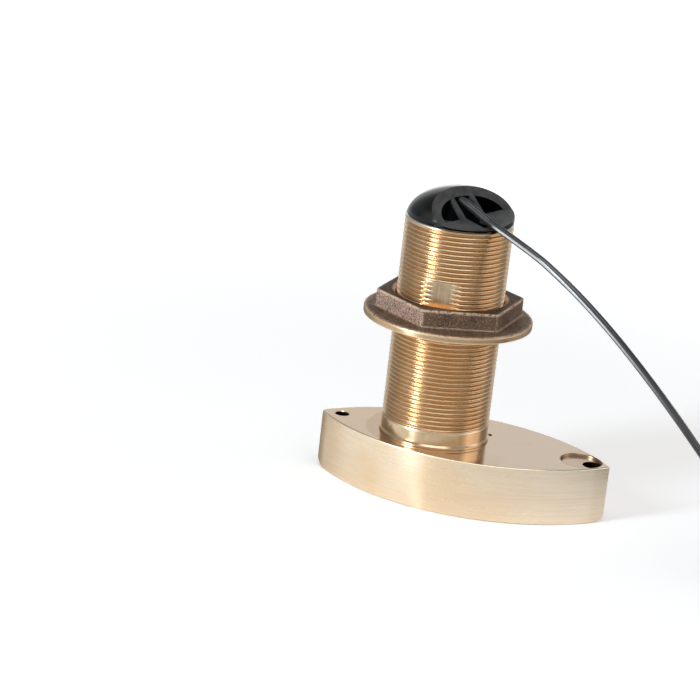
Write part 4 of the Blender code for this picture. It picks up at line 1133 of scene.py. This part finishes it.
def bar_tool(name, across):
    top = CAP_HEIGHT - CAP_WALL
    back = CAP_BAR_DEPTH * math.hypot(1.0, CAP_FACE_RUN)
    points = (
        (face_x(CAP_PLATE_THICKNESS) - back, CAP_PLATE_THICKNESS / 2),
        (CAP_FACE_REACH + OVERCUT, CAP_PLATE_THICKNESS / 2),
        (face_x(top) + 2 * back, top),
        (face_x(top) - back, top),
    )
    return channel_tool(name, extruded_side(points, CAP_BAR_WIDTH / 2), across)


def make_cap():
    cap = cap_tool("cap_tool", dome_mesh(0.0, GAP, spigot_outline()))
    hollow = inner_dome_tool("hollow_tool", CAP_WALL, CAP_PLATE_THICKNESS)
    combine(hollow, face_tool("face_back_tool", CAP_FACE_THICKNESS * math.hypot(1.0, CAP_FACE_RUN)))
    combine(cap, hollow)
    combine(cap, inner_dome_tool("window_tool", CAP_RING_WIDTH, CAP_PLATE_THICKNESS + GAP, GAP))
    bar_place = (CAP_NOTCH_WIDTH + CAP_BAR_WIDTH) / 2 + CAP_BAR_SETBACK
    combine(cap, bar_tool("left_bar_tool", -bar_place), "UNION")
    combine(cap, bar_tool("right_bar_tool", bar_place), "UNION")
    combine(cap, face_tool("face_tool"))
    bore = STEM_BORE_RADIUS - GAP - CAP_SPIGOT_WALL
    combine(cap, cap_tool("spigot_bore_tool", disc(bore, -CAP_SPIGOT_DEPTH - OVERCUT, 0.0, 96)))
    plate_bore = cap_tool("plate_bore_tool", disc(bore - GAP, -GAP, CAP_PLATE_THICKNESS + GAP, 96))
    combine(cap, combine(plate_bore, front_block("front_plate_tool", 2 * GAP)))
    notch = (
        (ELBOW_RUN[1][0], CAP_NOTCH_FLOOR),
        (2 * CAP_RADIUS, CAP_NOTCH_FLOOR),
        (2 * CAP_RADIUS, CAP_RADIUS),
        (ELBOW_RUN[1][0], CAP_SILL_HEIGHT + CAP_SILL_SLOPE * CAP_RADIUS),
    )
    combine(cap, channel_tool("cable_notch_tool", extruded_side(notch, CAP_NOTCH_WIDTH / 2), 0.0))
    gloss = plain_look(
        "cap_gloss", (0.004, 0.004, 0.0045), 0.20, scale=90.0, relief=0.0, IOR=1.38,
    )
    matt = plain_look("cap_matt", (0.058, 0.058, 0.059), 0.38, scale=1400.0, IOR=1.4)
    # Painted highlight on the bevelled edges of the cap
    edge = plain_look("cap_edge_highlight", (0.24, 0.24, 0.245), 0.25, scale=900.0, relief=0.0)
    for look in (gloss, matt, edge):
        cap.data.materials.append(look)
    mesh = settled(cap, "cap", 32.0, 0.00032, edge_material=2)
    item = make_object("cap", mesh, nodes=["cable_cap"], looks=[gloss, matt, edge])
    back = Matrix.Rotation(-CAP_FACING, 3, "Z")
    for polygon in mesh.polygons:
        centre = back @ (polygon.center - Vector((0.0, 0.0, RIM_Z)))
        out = math.hypot(centre.x - dome_lean(centre.z), centre.y) / CAP_RADIUS
        up = max(centre.z, 0.0) / CAP_HEIGHT
        on_dome = out ** CAP_DOME_POWER + up ** CAP_DOME_POWER > 0.985
        if on_dome and centre.z > 0.0:
            polygon.material_index = 0
        elif polygon.material_index != 2 or centre.z < 0.0:
            polygon.material_index = 1
    weigh_normals(item)


def make_seal():
    centre = STEM_BORE_RADIUS - GAP - SEAL_SECTION_RADIUS
    level = RIM_Z - SEAL_DEPTH
    points = [(centre + x, level + y) for x, y in circle(SEAL_SECTION_RADIUS, 20)]
    look = plain_look("seal_rubber", (0.02, 0.02, 0.02), 0.6)
    make_piece("seal", revolved(points, 96), ["cap_seal_ring"], look, 80.0)


# Cable

def channel_point(along, height):
    forward = Vector((math.cos(CHANNEL_ANGLE), math.sin(CHANNEL_ANGLE), 0.0))
    sideways = Vector((-forward.y, forward.x, 0.0))
    place = forward * along + sideways * CHANNEL_OFFSET
    place.z = RIM_Z + height
    return place


def elbow_route(spacing):
    points = [channel_point(ELBOW_FOOT, -ELBOW_DEPTH)]
    centre_height = ELBOW_TOP - ELBOW_BEND_RADIUS
    points.append(channel_point(ELBOW_FOOT, (centre_height - ELBOW_DEPTH) / 2))
    steps = 6
    for step in range(steps + 1):
        angle = math.pi / 2 * step / steps
        along = ELBOW_FOOT + ELBOW_BEND_RADIUS * (1 - math.cos(angle))
        points.append(channel_point(along, centre_height + ELBOW_BEND_RADIUS * math.sin(angle)))
    points += [channel_point(along, height) for along, height in ELBOW_RUN]
    return smooth_route(points, spacing)


# How the coil is wound: a step to the next turn and a climb to the next row each take this angle
COIL_STEP = math.radians(45.0)
COIL_START = math.radians(262.0)
COIL_POINTS = 30
# The CAD's coarser ring ends this much nearer its middle
COIL_FIT = 0.00002


def coil_route():
    """Turns beside each other in rows, wound inwards and outwards in turn.

    Each step to the next turn comes just before the place of the climb one turn later, so that
    the turns never lie in each other.
    """
    middle = Vector((COIL_X, 0.0, 0.0))
    outer = COIL_MIDDLE_RADIUS + (COIL_COLUMNS - 1) * CABLE_RADIUS - COIL_FIT
    floor = TIE_THICKNESS + GAP + CABLE_RADIUS
    spacing = 2 * math.pi / COIL_POINTS
    radius = outer
    height = floor
    angle = COIL_START
    step_at = COIL_START - math.radians(50.0)
    points = []

    def run(until):
        nonlocal angle
        count = max(1, round((until - angle) / spacing))
        for number in range(count):
            here = angle + (until - angle) * number / count
            points.append(middle + Vector((radius * math.cos(here), radius * math.sin(here), height)))
        angle = until

    def move(to_radius, to_height):
        nonlocal angle, radius, height
        count = 4
        for number in range(count):
            share = number / count
            share = share * share * (3 - 2 * share)
            here = angle + COIL_STEP * number / count
            far = radius + (to_radius - radius) * share
            points.append(middle + Vector((
                far * math.cos(here), far * math.sin(here), height + (to_height - height) * share,
            )))
        angle += COIL_STEP
        radius = to_radius
        height = to_height

    for row in range(COIL_ROWS):
        inwards = row % 2 == 0
        while step_at < angle:
            step_at += 2 * math.pi
        for turn in range(COIL_COLUMNS - 1):
            run(step_at)
            move(radius + (-CABLE_DIAMETER if inwards else CABLE_DIAMETER), height)
            step_at += 2 * math.pi
        if row == COIL_ROWS - 1:
            break
        run(step_at - 2 * COIL_STEP)
        move(radius, height + CABLE_DIAMETER)
        step_at -= 3 * COIL_STEP
    last = COIL_START + math.radians(16.0)
    while last < angle:
        last += 2 * math.pi
    run(last)
    return points


# The CAD's coarser cord ends this much nearer its middle
CORD_FIT = 0.00002
JACKET_COLOUR = (0.030, 0.030, 0.031)
JACKET_INDEX = 1.7
# The painted highlight is a band at an angle to the first direction, on the side of the second
HIGHLIGHT_SIDE = (-0.62, -0.24, -0.75)
HIGHLIGHT_FRONT = (0.0, -0.95, 0.31)
PAINTED_HIGHLIGHT_COLOUR = (0.62, 0.63, 0.64)


def cable_look():
    """Satin rubber, with a painted pale highlight low on its front where it leaves the cap."""
    look = Look("cable_black", JACKET_COLOUR, 0.17, IOR=JACKET_INDEX)
    normal = look.normal()
    # Painted highlight: a pale band on the cable's lower front side near the cap
    highlight_band = look.between(look.dot(normal, from_view(*HIGHLIGHT_SIDE)), 0.24, 0.38, 0.74, 0.86)
    highlight_band = look.times(highlight_band, look.span(look.dot(normal, from_view(*HIGHLIGHT_FRONT)), 0.0, 0.2))
    near = look.between(look.axis(look.place(), "X"), 0.0175, 0.0215, 0.07, 0.13)
    look.colour(look.mix(look.times(highlight_band, near), JACKET_COLOUR, PAINTED_HIGHLIGHT_COLOUR))
    return look.material


def make_cable(look):
    """The strain relief, and the cord as one curve from it through the coil to the plug."""
    relief = elbow_route(0.0007)
    radii = []
    for number in range(len(relief)):
        share = number / (len(relief) - 1)
        radii.append(ELBOW_RADIUS + (ELBOW_TIP_RADIUS - ELBOW_RADIUS) * share)
    boot = plain_look(
        "boot_rubber", JACKET_COLOUR, 0.15, scale=60.0, spread=0.1, relief=0.0, IOR=JACKET_INDEX,
    )
    make_piece("strain_relief_boot", tube(relief, radii, 28), ["strain_relief"], boot, 60.0)

    free = smooth_route((relief[-1], *CABLE_ROUTE), 0.003)
    coil = coil_route()
    tail = [Vector(point) for point in TAIL_ROUTE]
    joined = smooth_route((free[-2], free[-1], coil[0], coil[1]), 0.003)
    leaving = smooth_route((coil[-2], coil[-1], *tail), 0.003)
    route = free[:-1] + joined[1:-1] + coil[1:-1] + leaving[1:]
    data = bpy.data.curves.new("sonar_cable", "CURVE")
    data.dimensions = "3D"
    data.bevel_depth = CABLE_RADIUS - CORD_FIT
    data.bevel_resolution = 4
    data.use_fill_caps = True
    spline = data.splines.new("POLY")
    spline.points.add(len(route) - 1)
    for point, place in zip(spline.points, route):
        point.co = (*place, 1.0)
    data.materials.append(look)
    cable = add_object("sonar_cable", data)
    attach(cable, FIXED_BODY)
    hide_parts("cable", "cable_coil", "cable_end")
    return cable, relief[-1]


def strap_outline(width, height, corner, steps=6):
    """A rounded rectangle about its own middle, as (across, up) points."""
    points = []
    for x, z, start in (
        (width / 2, height / 2, 0.0), (-width / 2, height / 2, 90.0),
        (-width / 2, -height / 2, 180.0), (width / 2, -height / 2, 270.0),
    ):
        centre_x = x - math.copysign(corner, x)
        centre_z = z - math.copysign(corner, z)
        for step in range(steps + 1):
            angle = math.radians(start + 90.0 * step / steps)
            points.append((centre_x + corner * math.cos(angle), centre_z + corner * math.sin(angle)))
    return points


def make_ties():
    look = Look("tie_fabric", (0.014, 0.014, 0.015), 0.85)
    loops = look.grain(2600.0, detail=2.0)
    look.colour(look.mix(look.span(loops, 0.4, 0.7), (0.010, 0.010, 0.011), (0.035, 0.035, 0.037)))
    look.bump(loops, 0.00012, 0.9)
    half = COIL_COLUMNS * CABLE_RADIUS
    low = TIE_THICKNESS + GAP
    high = low + COIL_ROWS * CABLE_DIAMETER
    inner = COIL_MIDDLE_RADIUS - half
    near = math.sqrt(inner ** 2 - (TIE_WIDTH / 2) ** 2) - 2 * GAP
    far = COIL_MIDDLE_RADIUS + half + GAP
    centre = (near + far) / 2
    width = far - near
    height = high + GAP - TIE_THICKNESS
    middle_z = TIE_THICKNESS + height / 2
    outside = (width + 2 * TIE_THICKNESS, height + 2 * TIE_THICKNESS)
    slim = 0.0002
    outer = strap_outline(*outside, 0.0022)
    softer = strap_outline(outside[0] - slim, outside[1] - slim, 0.0021)
    inside = strap_outline(width, height, 0.0014)
    edge = TIE_WIDTH / 2
    sections = (
        (inside, -edge), (softer, -edge), (outer, -edge + slim),
        (outer, edge - slim), (softer, edge), (inside, edge),
    )
    ties = []
    for number, angle in enumerate(TIE_ANGLES, 1):
        bm = bmesh.new()
        rings = []
        for outline, y in sections:
            rings.append([bm.verts.new((centre + x, y, middle_z + z)) for x, z in outline])
        bridge(bm, rings + rings[:1])
        turn = Matrix.Translation((COIL_X, 0.0, 0.0)) @ Matrix.Rotation(angle, 4, "Z")
        bmesh.ops.transform(bm, matrix=turn, verts=bm.verts)
        ties.append(make_piece(
            "coil_strap_" + str(number), bm, ["coil_tie_" + str(number)], look.material, 50.0,
        ))
    return ties


# Plug

# The groove round the body: (height, depth)
PLUG_GROOVE = ((0.0178, 0.0), (0.0182, 0.0005), (0.0196, 0.0005), (0.0200, 0.0))
PLUG_FLUTES = 24
PLUG_FLUTE_SHARE = 0.045


def lay_down(bm, along, across=0.0, up=0.0):
    matrix = Matrix.Translation((PLUG_X + across, PLUG_Y + along, PLUG_RADIUS + up))
    bmesh.ops.transform(bm, matrix=matrix @ Matrix.Rotation(-math.pi / 2, 4, "X"), verts=bm.verts)
    return bm


def make_plug():
    black = plain_look("plug_black", (0.020, 0.020, 0.021), 0.42, scale=1300.0)
    rubber = plain_look("plug_boot_rubber", (0.030, 0.030, 0.031), 0.5, scale=1300.0)
    brass = plain_look("pin_brass", (0.80, 0.60, 0.28), 0.22, 1.0, scale=700.0, relief=0.00001)
    profile = [(0.0, 0.0), (PLUG_BOOT_TIP_RADIUS - 0.0003, 0.0), (PLUG_BOOT_TIP_RADIUS, 0.0003)]
    ribs = 6
    ribbed = PLUG_BOOT_LENGTH - 0.003
    end = PLUG_NECK_RADIUS - 2 * GAP
    for rib in range(ribs):
        start = 0.0012 + rib * ribbed / ribs
        pitch = ribbed / ribs
        for share, sunk in ((0.0, 0.0), (0.12, 0.00045), (0.38, 0.00045), (0.5, 0.0)):
            height = start + share * pitch
            radius = PLUG_BOOT_TIP_RADIUS + (end - PLUG_BOOT_TIP_RADIUS) * height / PLUG_BOOT_LENGTH
            profile.append((radius - sunk, height))
    profile += [(end, PLUG_BOOT_LENGTH), (0.0, PLUG_BOOT_LENGTH)]
    bm = lay_down(revolved(profile, 40, closed=False), 0.0)
    boot = make_piece("cable_boot", bm, ["plug_boot"], rubber, 40.0)

    shroud = PLUG_RADIUS - PLUG_SHROUD_WALL
    floor = PLUG_BODY_LENGTH - PLUG_SHROUD_DEPTH
    grip = PLUG_RADIUS - PLUG_NECK_RADIUS
    edge = 0.0003
    profile = [
        (0.0, 0.0), (PLUG_NECK_RADIUS - edge, 0.0), (PLUG_NECK_RADIUS, edge),
        (PLUG_RADIUS - edge, grip - edge), (PLUG_RADIUS, grip + edge),
        *((PLUG_RADIUS - depth, height) for height, depth in PLUG_GROOVE),
        (PLUG_RADIUS, PLUG_BODY_LENGTH - edge),
        (PLUG_RADIUS - edge, PLUG_BODY_LENGTH), (shroud + edge, PLUG_BODY_LENGTH),
        (shroud, PLUG_BODY_LENGTH - edge), (shroud, floor), (0.0, floor),
    ]
    bm = revolved(profile, 96, closed=False)
    for vert in bm.verts:
        outer = math.hypot(vert.co.x, vert.co.y) > PLUG_RADIUS - 0.0001
        if outer and grip < vert.co.z < PLUG_GROOVE[0][0] + 0.0001:
            wave = 0.5 - 0.5 * math.cos(PLUG_FLUTES * math.atan2(vert.co.y, vert.co.x))
            vert.co.xy *= 1.0 - PLUG_FLUTE_SHARE * wave ** 4
    start = PLUG_BOOT_LENGTH + GAP
    body = make_piece("plug_shell", lay_down(bm, start), ["plug_body"], black, 30.0)
    pieces = [boot, body]
    radius = PLUG_PIN_RADIUS
    high = PLUG_PIN_LENGTH
    profile = (
        (0.0, 0.0), (radius, 0.0), (radius, high - 0.0007), (radius * 0.75, high - 0.0002), (0.0, high),
    )
    for number, (across, up) in enumerate(circle(PLUG_PIN_CIRCLE, PLUG_PINS), 1):
        bm = lay_down(revolved(profile, 24, closed=False), start + floor + GAP, across, up)
        node = "plug_pin_" + str(number)
        pieces.append(make_piece("contact_pin_" + str(number), bm, [node], brass))
    return pieces


# Nodes that stay as they are in CAD

# Look, nodes, colour, roughness and what differs from plain_look's own values
CARRIED_LOOKS = (
    ("window_urethane", ("acoustic_window",), (0.018, 0.018, 0.020), 0.28, {"scale": 600.0}),
    ("silvered_ceramic", ("ceramic_disc",), (0.70, 0.69, 0.64), 0.42, {"metallic": 0.6, "scale": 1200.0}),
    ("cork", ("isolation_sleeve",), (0.42, 0.28, 0.16), 0.85,
     {"scale": 1100.0, "spread": 0.5, "relief": 0.0002}),
    ("foam", ("pressure_release_pad",), (0.07, 0.07, 0.07), 0.9, {"scale": 2200.0, "relief": 0.0002}),
    ("epoxy", ("cavity_fill", "stem_fill"), (0.04, 0.04, 0.045), 0.35, {"scale": 300.0}),
    ("thimble_bronze", ("sensor_thimble",), (0.66, 0.48, 0.28), 0.3, {"metallic": 1.0}),
    ("bead_epoxy", ("temperature_bead",), (0.02, 0.02, 0.02), 0.3, {}),
    ("red_lead", ("back_lead",), (0.50, 0.03, 0.02), 0.45, {}),
    ("black_lead", ("front_lead",), (0.02, 0.02, 0.02), 0.45, {}),
    ("white_lead", ("sensor_lead",), (0.75, 0.75, 0.72), 0.45, {"spread": 0.08}),
    ("ferrite", ("core_upper_half", "core_lower_half"), (0.06, 0.06, 0.065), 0.55, {"scale": 1500.0}),
    ("copper", ("transformer_winding",), (0.72, 0.33, 0.18), 0.3,
     {"metallic": 1.0, "scale": 1800.0, "relief": 0.0001}),
    ("spool_plastic", ("bobbin",), (0.66, 0.63, 0.54), 0.5, {"spread": 0.08}),
    ("board_green", ("terminal_board",), (0.04, 0.20, 0.09), 0.4, {}),
    ("cable_jacket", ("inner_cable",), (0.03, 0.03, 0.032), 0.35, {}),
)


def dress_nodes():
    """Give every carried-over node a procedural material."""
    for name, nodes, colour, roughness, more in CARRIED_LOOKS:
        look = plain_look(name, colour, roughness, **more)
        for node in nodes:
            mesh = frame["nodes"][node].data
            mesh.materials.clear()
            mesh.materials.append(look)


# Floor, world and lamps

KEY_AZIMUTH = -51.0
FLOOR_SIZE = 12.0
FLOOR_LEVEL = -0.0002
# Strips of light that metal sees in the floor, the key lamp's and a dim broad one: azimuth, half
# widths as shares of the distance at full and at no strength, strength near the object and away
FLOOR_IMAGES = ((KEY_AZIMUTH, 0.07, 0.13, 0.45, 2.0), (-92.0, 0.15, 0.55, 0.0, 0.35))
FLOOR_IMAGE_FOOT = (0.012, -0.022)
FLOOR_IMAGE_COLOUR = (0.80, 0.90, 1.0)


def make_floor():
    """Pale for the camera and grey for every other ray, with strips of light that metal sees."""
    bm = bmesh.new()
    bmesh.ops.create_grid(bm, x_segments=1, y_segments=1, size=FLOOR_SIZE / 2)
    floor = add_object("floor", raw_mesh(bm, "floor"))
    floor.location.z = FLOOR_LEVEL
    look = Look("floor", (0.86, 0.86, 0.85), 0.9)
    place = look.place()
    away = look.vector("LENGTH", place)
    near = look.span(away, 0.08, 0.32, 0.94, 0.25)
    grey = look.node("CombineColor", Red=near, Green=near, Blue=near).outputs[0]
    path = look.node("LightPath")
    seen = path.outputs["Is Camera Ray"]
    shiny = look.math("MAXIMUM", path.outputs["Is Glossy Ray"], path.outputs["Is Transmission Ray"])
    look.colour(look.mix(seen, grey, (0.92, 0.92, 0.92)))
    shown = look.times(seen, look.span(away, 0.15, 0.9, 0.24, 0.75))
    mirrored = look.span(away, 0.44, 0.60, 0.0, 0.70)
    moved = look.vector("SUBTRACT", place, from_view(*FLOOR_IMAGE_FOOT, 0.0), "Vector")
    for azimuth, narrow, wide, low, high in FLOOR_IMAGES:
        ahead = lamp_direction(azimuth, 0.0)
        forward = look.dot(moved, ahead)
        sideways = look.math("ABSOLUTE", look.dot(moved, Vector((-ahead.y, ahead.x, 0.0))))
        ratio = look.math("DIVIDE", sideways, look.math("MAXIMUM", forward, 0.01))
        strip = look.between(forward, 0.01, 0.03, 0.40, 0.55)
        strip = look.times(strip, look.span(ratio, narrow, wide, 1.0, 0.0))
        image = look.times(strip, look.span(forward, 0.05, 0.20, low, high))
        mirrored = look.math("ADD", mirrored, image)
    look.put(look.shader.inputs["Emission Color"], look.mix(seen, FLOOR_IMAGE_COLOUR, (1.0, 1.0, 1.0)))
    strength = look.math("ADD", shown, look.times(shiny, mirrored))
    look.put(look.shader.inputs["Emission Strength"], strength)
    floor.data.materials.append(look.material)


WORLD_LIGHT = 0.35
WHITE = (1.0, 1.0, 1.0)
# What metal sees of the room: (height of the direction, brightness), the two ends first
ROOM_BANDS = ((-0.10, 0.70), (0.80, 0.35), (0.05, 0.75), (0.20, 1.15), (0.42, 1.0))
# The room behind is darker on both sides of its middle
ROOM_SIDE_SHADE = 0.40


def make_world():
    """White for the camera; reflections see the room's bands, and plain surfaces a dim light."""
    world = bpy.data.worlds.new("studio")
    bpy.context.scene.world = world
    world.use_nodes = True
    world.node_tree.nodes.clear()
    wires = Wires(world.node_tree)

    def background(colour, strength):
        return wires.node("Background", Color=colour, Strength=strength).outputs[0]

    def either(share, first, second):
        made = wires.node("MixShader")
        for socket, value in zip(made.inputs, (share, first, second)):
            wires.put(socket, value)
        return made.outputs[0]

    direction = wires.node("TexCoord").outputs["Generated"]
    bands = wires.node("ValToRGB")
    wires.put(bands.inputs[0], wires.span(wires.axis(direction, "Z"), -1.0, 1.0, kind="LINEAR"))
    stops = bands.color_ramp.elements
    stops[0].position = 0.0
    stops[1].position = 1.0
    for number, (level, strength) in enumerate(ROOM_BANDS):
        stop = stops[number] if number < 2 else stops.new(0.5)
        stop.position = (level + 1) / 2
        stop.color = (strength, strength, strength, 1.0)
    behind = wires.dot(direction, from_view(0.0, 1.0, 0.0))
    sides = wires.span(behind, -0.15, 0.20, 1.0, ROOM_SIDE_SHADE, "LINEAR")
    middle = wires.span(behind, 0.80, 0.90, 0.0, 1.0 - ROOM_SIDE_SHADE, "LINEAR")
    room = background(bands.outputs["Color"], wires.math("ADD", sides, middle))
    path = wires.node("LightPath")
    shiny = wires.math("MAXIMUM", path.outputs["Is Glossy Ray"], path.outputs["Is Transmission Ray"])
    lit = either(shiny, background(WHITE, WORLD_LIGHT), room)
    out = wires.node("OutputWorld")
    wires.put(out.inputs[0], either(path.outputs["Is Camera Ray"], lit, background(WHITE, 1.0)))


LAMP_TARGET = Vector((0.0, 0.0, 0.06))


def make_lamp(name, azimuth, elevation, distance, width, height, power, colour=WHITE):
    """An area lamp that looks at the middle of the stem."""
    ahead = lamp_direction(azimuth, elevation) * distance
    data = bpy.data.lights.new(name, "AREA")
    data.shape = "RECTANGLE"
    data.size = width
    data.size_y = height
    data.energy = power
    data.color = colour
    lamp = add_object(name, data)
    lamp.location = LAMP_TARGET + ahead
    lamp.rotation_euler = ahead.to_track_quat("Z", "Y").to_euler()


def main():
    bpy.context.scene.view_settings.view_transform = "Standard"
    make_camera()
    cable, leaving = make_cable(cable_look())
    ties = make_ties()
    plug = make_plug()
    make_base(base_look())
    make_stem(stem_look())
    make_nut(nut_look())
    make_cap()
    make_seal()
    dress_nodes()
    drop_tools()
    make_floor()
    make_world()
    make_lamp("key", KEY_AZIMUTH, 16.0, 1.3, 0.26, 1.0, 13.0, (0.82, 0.93, 1.0))
    make_lamp("top", 10.0, 78.0, 1.4, 1.0, 1.0, 6.0)
    make_lamp("right", 95.0, 20.0, 1.5, 1.1, 1.0, 3.6, (1.0, 0.92, 0.88))
    make_lamp("back", 180.0, 4.5, 1.5, 0.6, 0.34, 0.9)


main()
